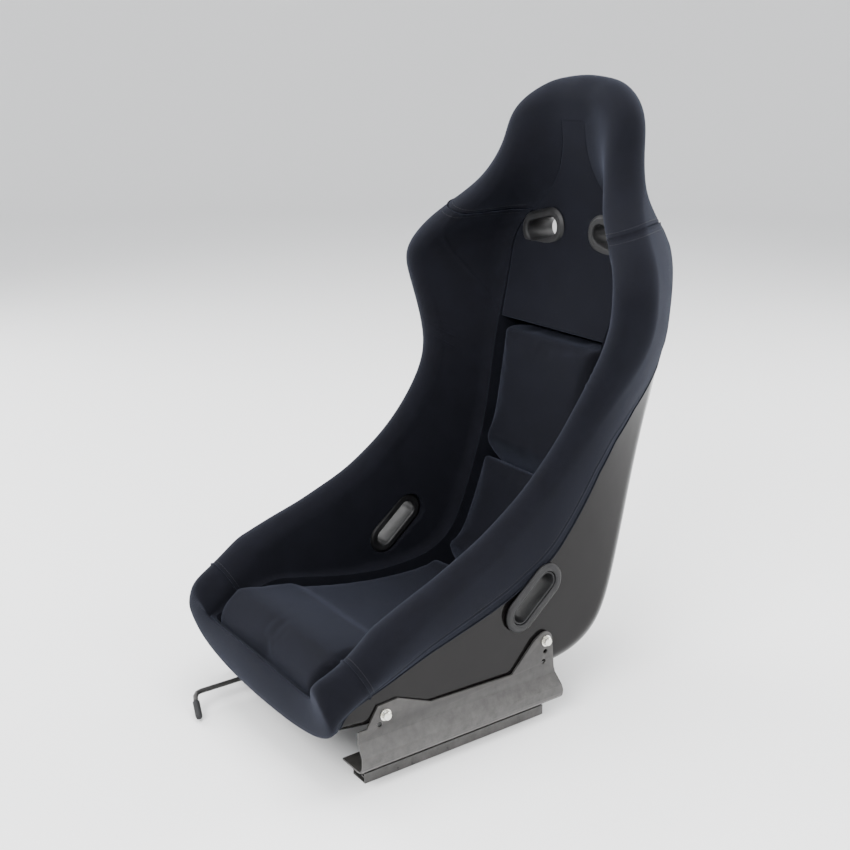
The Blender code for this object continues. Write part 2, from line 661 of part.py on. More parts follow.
def make_slot(kind, side, body, pad, shell):
    """Two plastic rings with a sleeve between them, and the holes that they need."""
    word = {1: "left", -1: "right"}[side]
    size = SHOULDER_SLOT if kind == "shoulder" else LAP_SLOT
    middle, long_axis, short_axis, out = slot_axes(kind)
    axes = (long_axis, short_axis, out)
    seat, back = slot_levels(kind, middle, out)
    front_profile = ((0.0, back - RING_HEIGHT * 0.5), (0.0, seat + RING_HEIGHT * 0.6),
                     (0.003, seat + RING_HEIGHT), (0.010, seat + RING_HEIGHT * 0.9),
                     (SLOT_RING, seat + RING_HEIGHT * 0.25), (SLOT_RING, seat + FIT),
                     (SLEEVE_WALL, seat + FIT), (SLEEVE_WALL, back - RING_HEIGHT * 0.5))
    name = kind + "_ring_inner_" + word
    mesh = ring_mesh(name, size, front_profile, middle, axes, side)
    piece(name, mesh, "ring_plastic", body)
    inner = SLEEVE_WALL + FIT
    rear_profile = ((inner, back - FIT), (SLOT_RING, back - FIT),
                    (SLOT_RING, back - RING_HEIGHT * 0.35), (0.011, back - RING_HEIGHT),
                    (0.006, back - RING_HEIGHT), (inner, back - RING_HEIGHT * 0.7))
    name = kind + "_ring_outer_" + word
    mesh = ring_mesh(name, size, rear_profile, middle, axes, side)
    piece(name, mesh, "ring_plastic", body)
    hole = prism("hole_" + kind + word, size, inner, back - 0.06, seat + 0.06,
                 middle, axes, side)
    hole = cutter_object("hole_" + kind + "_" + word, hole, body)
    cut(shell, hole)
    cut(pad, hole)
    recess = prism("recess_" + kind + word, size, SLOT_RING + FIT, seat, seat + 0.06,
                   middle, axes, side)
    cut(pad, cutter_object("recess_" + kind + "_" + word, recess, body))
    if kind == "shoulder":
        room = prism("land_" + kind + word, size, SLOT_RING + FIT, back - 0.05, back,
                     middle, axes, side)
        cut(shell, cutter_object("land_" + kind + "_" + word, room, body))


def slot_levels(kind, middle, out):
    """Heights along the way out of the pad's seat and the shell's outside."""
    if kind == "shoulder":
        v = SHOULDER_SLOT_X / form_point(SHOULDER_SLOT_STATION, FLAT_SHARE, False)[0] * FLAT_SHARE
        back = shell_at(SHOULDER_SLOT_STATION, v, -SHELL_WALL / 2)
        return -0.001, float((back - middle) @ out) - 0.0005
    return 0.034, -(SHELL_WALL / 2)


# ---------------------------------------------------------------- plain solids
def cylinder(name, start, end, radius, sides=16):
    """A closed cylinder between two points."""
    start, end = Vector(start), Vector(end)
    mesh = bpy.data.meshes.new(name)
    work = bmesh.new()
    bmesh.ops.create_cone(work, cap_ends=True, segments=sides, radius1=radius, radius2=radius,
                          depth=(end - start).length)
    turn = (end - start).to_track_quat("Z", "Y").to_matrix().to_4x4()
    work.transform(Matrix.Translation((start + end) / 2) @ turn)
    work.to_mesh(mesh)
    work.free()
    return mesh


def turned(name, start, axis, profile, finish, body, sides=12):
    """A turned piece: its outline, (radius, distance along the axis), on a Screw.

    The outline is a closed ring round a bore, or it starts and ends on the axis.
    """
    mesh = bpy.data.meshes.new(name)
    points = [(radius, 0.0, far) for radius, far in reversed(profile)]
    edges = [(k, k + 1) for k in range(len(points) - 1)]
    if profile[0][0] > 0:
        edges.append((len(points) - 1, 0))
    mesh.from_pydata(points, edges, [])
    mesh.materials.append(bpy.data.materials[finish])
    thing = bpy.data.objects.new(name, mesh)
    thing.parent = body
    thing.location = Vector(start) - parent_place(body)
    thing.rotation_euler = Vector(axis).to_track_quat("Z", "Y").to_euler()
    SEAT.objects.link(thing)
    screw = thing.modifiers.new("turn", "SCREW")
    screw.steps = screw.render_steps = sides
    screw.use_merge_vertices = True
    screw.merge_threshold = 0.00001
    screw.use_smooth_shade = False
    return thing


def box(name, low, high):
    """A closed box between two corners."""
    mesh = bpy.data.meshes.new(name)
    work = bmesh.new()
    bmesh.ops.create_cube(work, size=1.0)
    low, high = Vector(low), Vector(high)
    bmesh.ops.scale(work, vec=high - low, verts=work.verts)
    bmesh.ops.translate(work, vec=(high + low) / 2, verts=work.verts)
    work.to_mesh(mesh)
    work.free()
    return mesh


def strip(name, profile, y_low, y_high):
    """An open sheet: an (x, z) line carried along Y, ready for a wall."""
    profile = np.asarray(profile, float)
    ends = []
    for y in (y_low, y_high):
        ends.append(np.stack([profile[:, 0], np.full(len(profile), y), profile[:, 1]], 1))
    return sheet(name, np.array(ends))


def plate_outline(name, outline, x_low, x_high):
    """A closed plate: a (y, z) outline with a thickness along X."""
    outline = np.asarray(outline, float)
    loops = [np.stack([np.full(len(outline), x), outline[:, 0], outline[:, 1]], 1)
             for x in (x_low, x_high)]
    return loft(name, np.array(loops))


# ---------------------------------------------------------------- brackets and bolts
BRACKET_IN = HIP_HALF_WIDTH + SHELL_WALL / 2 + 2 * FIT      # face against the shell
BRACKET_MID = BRACKET_IN + BRACKET_SHEET / 2
RAIL_X = BRACKET_MID - 0.0265                               # middle of a rail
BOLTS = ((BOLT_MIDDLE_Y - BOLT_SPACING / 2, BOLT_FRONT_Z),
         (BOLT_MIDDLE_Y + BOLT_SPACING / 2, BOLT_REAR_Z))


def make_bracket(side, body):
    """A folded side bracket: plate, flare and inward flange, cut to its outline."""
    word = {1: "left", -1: "right"}[side]
    name = "side_bracket_" + word
    flange = BRACKET_FLANGE_Z + BRACKET_SHEET / 2
    outer = BRACKET_MID + BRACKET_FLARE
    round_radius = 0.012
    angle = np.linspace(0.0, math.pi / 2, 5)
    fold = [(outer - round_radius + round_radius * math.cos(a),
             flange + round_radius - round_radius * math.sin(a)) for a in angle]
    top = BOLT_REAR_Z + 0.030
    profile = [(BRACKET_MID, top), (BRACKET_MID, BRACKET_CREASE_Z), (outer, BRACKET_CREASE_Z - 0.020)]
    profile += fold + [(RAIL_X - 0.016, flange)]
    profile = [(x * side, z) for x, z in profile]
    if side < 0:
        profile = profile[::-1]
    bracket = piece(name, strip(name, profile, BRACKET_FRONT_Y, BRACKET_REAR_Y),
                    "bracket_black", body, smooth=30.0)
    wall = bracket.modifiers.new("sheet", "SOLIDIFY")
    wall.thickness = BRACKET_SHEET
    wall.offset = 0.0
    wall.use_even_offset = True
    front, rear = BOLTS
    above = top + 0.02
    knee = BRACKET_CREASE_Z + 0.024
    lobe = np.linspace(math.radians(115), math.radians(10), 5)
    ear = [(rear[0] - 0.002 + 0.015 * math.cos(a), rear[1] + 0.015 * math.sin(a)) for a in lobe]
    edge = [(BRACKET_FRONT_Y - 0.02, front[1] - 0.014), (front[0] - 0.030, front[1] - 0.014),
            (front[0] - 0.012, front[1] + 0.016), (front[0] + 0.022, front[1] + 0.018),
            (front[0] + 0.078, knee + 0.002), (rear[0] - 0.064, knee - 0.003),
            (rear[0] - 0.022, rear[1] + 0.006)] + ear
    edge += [(rear[0] + 0.018, BRACKET_CREASE_Z + 0.01), (BRACKET_REAR_Y, BRACKET_CREASE_Z - 0.028),
             (BRACKET_REAR_Y + 0.02, BRACKET_CREASE_Z - 0.028), (BRACKET_REAR_Y + 0.02, above),
             (BRACKET_FRONT_Y - 0.02, above)]
    low, high = sorted((side * (BRACKET_MID - 0.02), side * (BRACKET_MID + 0.03)))
    cut(bracket, cutter_object("trim_" + word, plate_outline("trim", edge, low, high), body))
    holes = [(front, BOLT_RADIUS), (rear, BOLT_RADIUS),
             ((front[0] - 0.009, front[1] - 0.013), 0.0035),
             ((rear[0], rear[1] - 0.018), 0.0035), ((rear[0] - 0.003, rear[1] - 0.034), 0.0035)]
    for number, ((y, z), radius) in enumerate(holes):
        hole = cylinder("bore", (low, y, z), (high, y, z), radius + FIT)
        cut(bracket, cutter_object("bore_%s_%d" % (word, number), hole, body))
    for number, y in enumerate((-RAIL_BOLT_Y, RAIL_BOLT_Y)):
        hole = cylinder("bore", (side * RAIL_X, y, 0.0), (side * RAIL_X, y, 0.05),
                        RAIL_BOLT_RADIUS + FIT)
        cut(bracket, cutter_object("rail_bore_%s_%d" % (word, number), hole, body))
    return bracket


def make_mount_bolt(side, number, body, shell, pad):
    """A side-mount bolt with its washer and the threaded insert in the shell."""
    word = {1: "left", -1: "right"}[side] + ("_front", "_rear")[number]
    y, z = BOLTS[number]
    face = BRACKET_IN + BRACKET_SHEET + FIT
    axis = (-side, 0.0, 0.0)
    start = (side * (face + WASHER_THICKNESS), y, z)
    washer = ((BOLT_RADIUS + FIT, 0.0), (WASHER_RADIUS, 0.0), (WASHER_RADIUS, WASHER_THICKNESS),
              (BOLT_RADIUS + FIT, WASHER_THICKNESS))
    turned("mount_washer_" + word, start, axis, washer, "zinc", body)
    head = face + WASHER_THICKNESS + FIT
    tip = HIP_HALF_WIDTH - SHELL_WALL / 2 - INSERT_FLANGE
    far = head - tip
    bolt = ((0.0, -BOLT_HEAD_HEIGHT), (BOLT_HEAD_RADIUS - 0.001, -BOLT_HEAD_HEIGHT),
            (BOLT_HEAD_RADIUS, -BOLT_HEAD_HEIGHT + 0.001), (BOLT_HEAD_RADIUS, 0.0),
            (BOLT_RADIUS, 0.0), (BOLT_RADIUS, far), (0.0, far))
    turned("mount_bolt_" + word, (side * head, y, z), axis, bolt, "zinc", body)
    bore = BOLT_RADIUS + FIT
    outside = HIP_HALF_WIDTH + SHELL_WALL / 2
    barrel = SHELL_WALL + FIT
    insert = ((bore, 0.0), (INSERT_RADIUS, 0.0), (INSERT_RADIUS, barrel),
              (INSERT_FLANGE_RADIUS, barrel), (INSERT_FLANGE_RADIUS, barrel + INSERT_FLANGE),
              (bore, barrel + INSERT_FLANGE))
    turned("threaded_insert_" + word, (side * outside, y, z), axis, insert, "steel", body)
    hole = cylinder("bore", (side * (outside + 0.01), y, z), (side * (outside - 0.012), y, z),
                    INSERT_RADIUS + FIT)
    cut(shell, cutter_object("insert_bore_" + word, hole, body))
    inside = outside - SHELL_WALL
    face = cylinder("face", (side * inside, y, z), (side * (inside - 0.012), y, z),
                    INSERT_FLANGE_RADIUS + FIT)
    cut(shell, cutter_object("insert_face_" + word, face, body))
    pocket = cylinder("pocket", (side * (outside + 0.002), y, z), (side * (outside - 0.016), y, z),
                      INSERT_FLANGE_RADIUS + 2 * FIT)
    cut(pad, cutter_object("insert_pocket_" + word, pocket, body))


# ---------------------------------------------------------------- slides
def channel(name, half_width, height, lip, side):
    """The lower rail: a channel whose top edges fold inward, open at the top."""
    half = half_width - RAIL_SHEET / 2
    x = side * RAIL_X
    low, high = RAIL_SHEET / 2, height - RAIL_SHEET / 2
    profile = [(x - half + lip, high), (x - half, high), (x - half, low),
               (x + half, low), (x + half, high), (x + half - lip, high)]
    return strip(name, profile, -RAIL_LENGTH / 2, RAIL_LENGTH / 2)


def make_slide(side, root, seat, cage):
    """One slide: lower rail, upper rail, roller cage, two rollers, two rail bolts."""
    word = {1: "left", -1: "right"}[side]
    x = side * RAIL_X
    lip = (RAIL_WIDTH - UPPER_RAIL_WIDTH) / 2 - RUN - RAIL_SHEET / 2
    mesh = channel("lower_rail", RAIL_WIDTH / 2, LOWER_RAIL_HEIGHT, lip, side)
    lower = piece("lower_rail_" + word, mesh, "rail_black", root, smooth=30.0)
    wall = lower.modifiers.new("sheet", "SOLIDIFY")
    wall.thickness, wall.offset, wall.use_even_offset = RAIL_SHEET, 0.0, True
    for number, y in enumerate((-FLOOR_HOLE_Y, FLOOR_HOLE_Y)):
        hole = cylinder("bore", (x, y, -0.005), (x, y, 2 * RAIL_SHEET), FLOOR_HOLE_RADIUS)
        cut(lower, cutter_object("floor_bore_%s_%d" % (word, number), hole, root))
    bearing = RAIL_SHEET + 2 * (ROLLER_RADIUS + FIT) + RAIL_SHEET / 2
    web = UPPER_RAIL_WIDTH / 2 - RAIL_SHEET / 2
    foot = RAIL_WIDTH / 2 - RAIL_SHEET - RUN
    crown = UPPER_RAIL_TOP - RAIL_SHEET / 2
    profile = [(x - foot, bearing), (x - web, bearing), (x - web, crown), (x + web, crown),
               (x + web, bearing), (x + foot, bearing)]
    upper = piece("upper_rail_" + word, strip("upper_rail", profile, -RAIL_LENGTH / 2,
                                              RAIL_LENGTH / 2), "rail_black", seat, smooth=30.0)
    wall = upper.modifiers.new("sheet", "SOLIDIFY")
    wall.thickness, wall.offset, wall.use_even_offset = RAIL_SHEET, 0.0, True
    for number, y in enumerate((-RAIL_BOLT_Y, RAIL_BOLT_Y)):
        end = ("front", "rear")[number]
        hole = cylinder("bore", (x, y, UPPER_RAIL_TOP - 2 * RAIL_SHEET),
                        (x, y, UPPER_RAIL_TOP + 0.01), RAIL_BOLT_RADIUS + FIT, 16)
        cut(upper, cutter_object("upper_bore_%s_%s" % (word, end), hole, seat))
        top = BRACKET_FLANGE_Z + BRACKET_SHEET + FIT
        tip = UPPER_RAIL_TOP - RAIL_SHEET - 0.001
        bolt = ((0.0, tip), (RAIL_BOLT_RADIUS, tip), (RAIL_BOLT_RADIUS, top), (SPACER_RADIUS, top),
                (SPACER_RADIUS, top + 0.004), (0.003, top + 0.005), (0.0, top + 0.005))
        turned("rail_bolt_%s_%s" % (word, end), (x, y, 0.0), (0, 0, 1), bolt, "zinc", seat)
        low, high = UPPER_RAIL_TOP + FIT, BRACKET_FLANGE_Z - FIT
        bore = RAIL_BOLT_RADIUS + FIT
        spacer = ((bore, low), (SPACER_RADIUS, low), (SPACER_RADIUS, high), (bore, high))
        turned("rail_spacer_%s_%s" % (word, end), (x, y, 0.0), (0, 0, 1), spacer, "zinc", seat)
    roller_z = RAIL_SHEET + FIT + ROLLER_RADIUS
    half = CAGE_THICKNESS / 2
    strip_half = ROLLER_LENGTH / 2 + 0.0025
    mesh = box("cage", (x - strip_half, -CAGE_LENGTH / 2, roller_z - half),
               (x + strip_half, CAGE_LENGTH / 2, roller_z + half))
    holder = piece("roller_cage_" + word, mesh, "grip_plastic", cage)
    for number, y in enumerate((-CAGE_LENGTH / 2 + 0.015, CAGE_LENGTH / 2 - 0.015)):
        room = ROLLER_RADIUS + FIT
        reach_x = ROLLER_LENGTH / 2 + FIT
        window = box("window", (x - reach_x, y - room, roller_z - 0.01),
                     (x + reach_x, y + room, roller_z + 0.01))
        end = ("front", "rear")[number]
        cut(holder, cutter_object("window_%s_%s" % (word, end), window, cage))
        axle = empty("roller_axis_%s_%s" % (word, end), (x, y, roller_z), cage)
        mesh = cylinder("roller", (x - ROLLER_LENGTH / 2, y, roller_z),
                        (x + ROLLER_LENGTH / 2, y, roller_z), ROLLER_RADIUS)
        piece("roller_%s_%s" % (word, end), mesh, "steel", axle)


# ---------------------------------------------------------------- release gear
def make_release(seat):
    """The release rod with its grip, the two latches and the link between them."""
    rod_x = -ROD_X
    turn = empty("release_axis", (rod_x, 0.0, ROD_Z), seat)
    points = [(rod_x, ROD_REAR_Y, ROD_Z), (rod_x, ROD_FRONT_Y + 0.012, ROD_Z),
              (rod_x + 0.001, ROD_FRONT_Y + 0.005, ROD_Z - 0.0005),
              (rod_x + 0.005, ROD_FRONT_Y, ROD_Z - 0.003),
              (rod_x + 0.012, ROD_FRONT_Y - 0.003, ROD_Z - 0.0065)]
    wire("release_rod", points, ROD_RADIUS, "rail_black", turn)
    start = np.array(points[-1])
    way = unit(np.array([0.84, -0.24, -0.43]))
    grip = ((0.0, 0.0), (0.004, 0.0), (GRIP_RADIUS, 0.002), (GRIP_RADIUS, 0.028),
            (0.0045, 0.0315), (0.002, 0.033), (0.0, 0.033))
    turned("lever_grip", start + way * FIT, way, grip, "grip_plastic", turn)
    make_latch("latch_right", -1, turn)
    other = empty("slave_axis", (ROD_X, 0.0, ROD_Z), seat)
    wire("slave_rod", [(ROD_X, LATCH_Y - 0.035, ROD_Z), (ROD_X, LATCH_Y + 0.035, ROD_Z)],
         ROD_RADIUS, "rail_black", other)
    make_latch("latch_left", 1, other)
    height = ROD_Z + LINK_RISE
    link = empty("link_way", (0.0, LATCH_Y, height), seat)
    wire("link_wire", [(-ROD_X + 0.010, LATCH_Y, height), (ROD_X - 0.010, LATCH_Y, height)],
         0.0015, "steel", link)
    for side, word in ((1, "left"), (-1, "right")):
        for number, y in enumerate((LATCH_Y - 0.030, LATCH_Y + 0.021)):
            make_rod_hanger(side, word + ("_front", "_rear")[number], y, seat)


def make_latch(name, side, body):
    """A latch: a collar on its rod, a toothed tongue to the rail, a finger to the link."""
    x = side * ROD_X
    bore, outer = ROD_RADIUS + FIT, ROD_RADIUS + 0.0032
    tip = RAIL_X - RAIL_WIDTH / 2 - ROD_X - 0.002
    low, high = LATCH_Y - LATCH_LENGTH / 2 + 0.004, LATCH_Y + LATCH_LENGTH / 2 - 0.008
    angle = np.radians(np.linspace(110.0, 330.0, 12))
    around = [(outer * math.cos(a), outer * math.sin(a)) for a in angle]
    within = [(bore * math.cos(a), bore * math.sin(a)) for a in angle[::-1]]
    finger = [(-0.0015, LINK_RISE - 0.0025), (-0.004, LINK_RISE - 0.0025)]
    tongue = [(tip, -0.0070), (tip, -0.0070 + LATCH_SHEET)]
    outline = np.array(finger + around + tongue + within)
    loops = [np.stack([x + side * outline[:, 0], np.full(len(outline), y),
                       ROD_Z + outline[:, 1]], 1) for y in (low, high)]
    latch = piece(name, loft(name, np.array(loops)), "steel", body)
    for number, y in enumerate((low + 0.010, low + 0.022)):
        ends = sorted((x + side * (tip - 0.008), x + side * (tip + 0.004)))
        gap = box("gap", (ends[0], y, 0.002), (ends[1], y + 0.004, ROD_Z + 0.002))
        cut(latch, cutter_object("tooth_gap_%s_%d" % (name, number), gap, body))


def make_rod_hanger(side, word, y, seat):
    """A small eye that carries a rod, with a foot up to the bracket's flange."""
    x = side * ROD_X
    name = "rod_hanger_" + word
    bore = ROD_RADIUS + RUN
    angle = np.radians(np.linspace(60.0, 320.0, 14))
    eye_out = [(0.0085 * math.cos(a), 0.0085 * math.sin(a)) for a in angle]
    eye_in = [(bore * math.cos(a), bore * math.sin(a)) for a in angle[::-1]]
    far = RAIL_X - 0.016 + 0.012 - ROD_X
    top = BRACKET_FLANGE_Z + BRACKET_SHEET + FIT - ROD_Z
    outline = [(0.008, top), (far, top), (far, top + 0.0024)] + eye_out
    outline = np.array(outline + eye_in)
    loops = [np.stack([x + side * outline[:, 0], np.full(len(outline), at), ROD_Z + outline[:, 1]], 1)
             for at in (y, y + 0.009)]
    return piece(name, loft(name, np.array(loops)), "bracket_black", seat)


def wire(name, points, radius, finish, body):
    """A round rod along points: a poly curve with a bevel, made a mesh."""
    line = bpy.data.curves.new(name, "CURVE")
    line.dimensions = "3D"
    line.bevel_depth = radius
    line.bevel_resolution = 3
    line.use_fill_caps = True
    path = line.splines.new("POLY")
    path.points.add(len(points) - 1)
    for knot, place in zip(path.points, points):
        knot.co = (*place, 1.0)
    guide = bpy.data.objects.new(name, line)
    SEAT.objects.link(guide)
    bpy.context.view_layer.update()
    graph = bpy.context.evaluated_depsgraph_get()
    mesh = bpy.data.meshes.new_from_object(guide.evaluated_get(graph))
    bpy.data.objects.remove(guide, do_unlink=True)
    work = bmesh.new()
    work.from_mesh(mesh)
    bmesh.ops.remove_doubles(work, verts=work.verts, dist=0.0001)
    bmesh.ops.recalc_face_normals(work, faces=work.faces)
    work.to_mesh(mesh)
    work.free()
    mesh.materials.clear()
    return piece(name, mesh, finish, body)


def recentre(base):
    """Put the origin under the middle of the whole seat, on the ground."""
    bpy.context.view_layer.update()
    graph = bpy.context.evaluated_depsgraph_get()
    corners = []
    for thing in SEAT.objects:
        if thing.type == "MESH":
            ready = thing.evaluated_get(graph)
            corners += [ready.matrix_world @ Vector(c) for c in ready.bound_box]
    low = [min(c[k] for c in corners) for k in range(3)]
    high = [max(c[k] for c in corners) for k in range(3)]
    middle = Vector(((low[0] + high[0]) / 2, (low[1] + high[1]) / 2, low[2]))
    base.location -= middle


def build():
    """Make every piece of the seat."""
    start_scene()
    base = empty("rails_base")
    seat = empty("seat_slide", parent=base)
    shell = make_shell(seat)
    pads = {1: make_bolster("bolster_left", 1, seat), -1: make_bolster("bolster_right", -1, seat)}
    make_front_roll(seat)
    make_cushion(seat)
    end = FLAT_SHARE - SEAM_GAP
    block("lower_back_pad", LOWER_PAD, end, "pad_fabric", seat)
    block("lumbar_pad", LUMBAR_PAD, end, "pad_fabric", seat)
    upper = block("upper_back_pad", UPPER_PAD, end, "cover_fabric", seat)
    make_head(seat)
    for side in (1, -1):
        make_slot("shoulder", side, seat, upper, shell)
        make_slot("lap", side, seat, pads[side], shell)
        make_bracket(side, seat)
        for number in (0, 1):
            make_mount_bolt(side, number, seat, shell, pads[side])
        cage = empty("cage_way_" + {1: "left", -1: "right"}[side], parent=base)
        make_slide(side, base, seat, cage)
    make_release(seat)
    recentre(base)


build()
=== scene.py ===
# %% [markdown]
# # A racing bucket seat
# The real seat is a glass-fibre shell with foam pads under a dark brushed cover, plastic
# rings in its belt slots, folded side brackets, and slide rails. The mechanical parts come
# from the frame as they are. Everything soft or shiny is made again here, finely, as
# surfaces worked out with numpy.

import math

import bmesh
import bpy
import numpy as np
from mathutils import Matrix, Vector


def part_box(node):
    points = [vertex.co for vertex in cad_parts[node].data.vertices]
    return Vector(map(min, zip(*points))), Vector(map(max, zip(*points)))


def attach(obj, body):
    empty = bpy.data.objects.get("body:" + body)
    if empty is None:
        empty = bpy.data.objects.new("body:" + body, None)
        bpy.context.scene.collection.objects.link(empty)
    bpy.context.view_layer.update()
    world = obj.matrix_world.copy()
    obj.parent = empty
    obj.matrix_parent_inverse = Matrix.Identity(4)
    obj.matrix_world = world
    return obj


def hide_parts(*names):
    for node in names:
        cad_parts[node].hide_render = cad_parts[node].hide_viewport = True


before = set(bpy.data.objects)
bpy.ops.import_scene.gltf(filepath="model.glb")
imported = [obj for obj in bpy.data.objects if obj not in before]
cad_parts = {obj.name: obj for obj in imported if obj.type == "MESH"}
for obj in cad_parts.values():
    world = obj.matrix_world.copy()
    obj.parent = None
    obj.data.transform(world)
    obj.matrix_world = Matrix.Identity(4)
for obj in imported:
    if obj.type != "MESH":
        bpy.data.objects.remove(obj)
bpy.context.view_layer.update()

# %% [markdown]
# ## Measures taken from the frame
# The seat's form is drawn around the middle of its rails, so the rails' middle gives the
# shift along Y. Widths and heights of the rings are read from their own nodes.

# %% Measures
rail_low, rail_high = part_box("lower_rail_left")
RAIL_MIDDLE_Y = (rail_low.y + rail_high.y) / 2
SHIFT = np.array([0.0, RAIL_MIDDLE_Y, 0.0])
HIP_HALF_WIDTH = 0.200
SHELL_WALL = 0.004
SKIN = 0.0028               # from the shell's middle surface to the foam
SIDES = {"left": 1.0, "right": -1.0}
print("rails' middle at y =", round(RAIL_MIDDLE_Y, 4))

# %% [markdown]
# ## The form as one table
# A boat builder draws a hull as a row of sections called stations. The seat is drawn the
# same way: the stations run from the front edge, under the sitter and up the back to the
# head. One row holds the middle line, the rim, the shell's corner and the pads' corner.

# %% The stations
# centre y, centre z; rim y, rim z, rim x outside the hip line; shell corner inside the
# hip line, its fillet; pad thickness, pad corner inside the hip line, its fillet; rim
# foam inside and outside.
STATIONS = np.array((
    (-0.225, 0.098, -0.225, 0.128, -0.012, 0.004, 0.015, 0.074, 0.036, 0.010, 0.030, 0.030),
    (-0.165, 0.092, -0.200, 0.165, 0.003, 0.000, 0.018, 0.098, 0.036, 0.012, 0.033, 0.030),
    (-0.090, 0.087, -0.150, 0.200, 0.003, 0.000, 0.020, 0.100, 0.036, 0.012, 0.035, 0.027),
    (-0.010, 0.084, -0.085, 0.228, 0.000, 0.000, 0.022, 0.080, 0.036, 0.014, 0.035, 0.022),
    (0.070, 0.083, -0.018, 0.254, -0.003, 0.000, 0.022, 0.062, 0.037, 0.016, 0.034, 0.017),
    (0.150, 0.083, 0.036, 0.278, -0.005, 0.000, 0.022, 0.062, 0.040, 0.018, 0.033, 0.014),
    (0.222, 0.088, 0.080, 0.302, -0.007, 0.000, 0.024, 0.070, 0.046, 0.020, 0.033, 0.013),
    (0.274, 0.115, 0.117, 0.327, -0.007, 0.000, 0.032, 0.082, 0.055, 0.022, 0.033, 0.013),
    (0.298, 0.160, 0.150, 0.355, -0.007, 0.002, 0.035, 0.092, 0.060, 0.024, 0.033, 0.013),
    (0.320, 0.220, 0.182, 0.387, -0.006, 0.008, 0.038, 0.091, 0.062, 0.025, 0.033, 0.013),
    (0.344, 0.290, 0.212, 0.424, -0.003, 0.018, 0.040, 0.086, 0.062, 0.025, 0.033, 0.013),
    (0.369, 0.360, 0.238, 0.463, 0.000, 0.030, 0.042, 0.091, 0.062, 0.026, 0.033, 0.014),
    (0.394, 0.430, 0.256, 0.505, 0.010, 0.040, 0.045, 0.098, 0.062, 0.028, 0.033, 0.018),
    (0.416, 0.500, 0.263, 0.555, 0.032, 0.046, 0.050, 0.103, 0.060, 0.034, 0.034, 0.024),
    (0.430, 0.570, 0.260, 0.605, 0.055, 0.050, 0.055, 0.097, 0.052, 0.042, 0.035, 0.028),
    (0.430, 0.640, 0.252, 0.652, 0.065, 0.050, 0.055, 0.074, 0.036, 0.040, 0.035, 0.028),
    (0.419, 0.700, 0.278, 0.696, 0.036, 0.044, 0.045, 0.043, 0.022, 0.030, 0.035, 0.028),
    (0.413, 0.765, 0.320, 0.752, -0.040, 0.080, 0.045, 0.038, 0.092, 0.055, 0.033, 0.028),
    (0.408, 0.830, 0.342, 0.820, -0.069, 0.128, 0.050, 0.044, 0.142, 0.090, 0.030, 0.028),
    (0.401, 0.890, 0.359, 0.880, -0.077, 0.140, 0.055, 0.044, 0.155, 0.100, 0.029, 0.028),
    (0.393, 0.923, 0.366, 0.915, -0.086, 0.145, 0.055, 0.040, 0.160, 0.100, 0.028, 0.026),
))
LAST = len(STATIONS) - 1
FLAT_SHARE = 0.40
BEND_SHARE = 0.25
FRONT_REACH = 0.80
TOP_REACH = 0.62
LIP_THICKNESS = 0.036
print(len(STATIONS), "stations")


# %% From the table to a surface
def smooth_rows(u):
    """Uniform cubic B-spline through the station rows, carried on straight past its ends."""
    form = STATIONS.copy()
    form[:, 4] = HIP_HALF_WIDTH + form[:, 4]
    form[:, 5] = HIP_HALF_WIDTH - form[:, 5]
    form[:, 8] = HIP_HALF_WIDTH - form[:, 8]
    rows = np.vstack([2 * form[0] - form[1], form, 2 * form[-1] - form[-2]])
    inside = np.clip(u, 0.0, LAST)
    first = np.minimum(inside.astype(int), LAST - 1)
    t = (inside - first)[..., None]
    a, b, c, d = (rows[first + k] for k in range(4))
    value = ((1 - t) ** 3 * a + (3 * t ** 3 - 6 * t ** 2 + 4) * b
             + (-3 * t ** 3 + 3 * t ** 2 + 3 * t + 1) * c + t ** 3 * d) / 6.0
    slope = (-(1 - t) ** 2 * a + (3 * t ** 2 - 4 * t) * b
             + (-3 * t ** 2 + 2 * t + 1) * c + t ** 2 * d) / 2.0
    return value + slope * (u - inside)[..., None]


def along(start, corner, end, radius, v, most=0.45):
    """Point on a flat leg, a fillet and a wall leg: v runs 0-0.40, 0.40-0.65, 0.65-1.

    The fillet takes at most a share of the shorter leg.
    """
    first, second = corner - start, end - corner
    long_one = np.linalg.norm(first, axis=-1)
    long_two = np.linalg.norm(second, axis=-1)
    one, two = first / long_one[..., None], second / long_two[..., None]
    turn = np.arccos(np.clip((one * two).sum(-1), -1.0, 1.0))
    back = np.minimum(radius * np.tan(turn / 2), most * np.minimum(long_one, long_two))
    radius = back / np.tan(turn / 2)
    side = np.stack([-one[..., 1], one[..., 0]], -1)
    centre = corner - one * back[..., None] + side * radius[..., None]
    flat = np.clip(v / FLAT_SHARE, 0.0, 1.0)
    bend = np.clip((v - FLAT_SHARE) / BEND_SHARE, 0.0, 1.0)
    wall = (v - FLAT_SHARE - BEND_SHARE) / (1 - FLAT_SHARE - BEND_SHARE)
    angle = bend * turn
    on_flat = start + one * (flat * (long_one - back))[..., None]
    on_bend = (centre + one * (radius * np.sin(angle))[..., None]
               - side * (radius * np.cos(angle))[..., None])
    on_wall = corner + two * (back + np.maximum(wall, 0.0) * (long_two - back))[..., None]
    place = np.where((bend > 0)[..., None], on_bend, on_flat)
    return np.where((wall > 0)[..., None], on_wall, place)


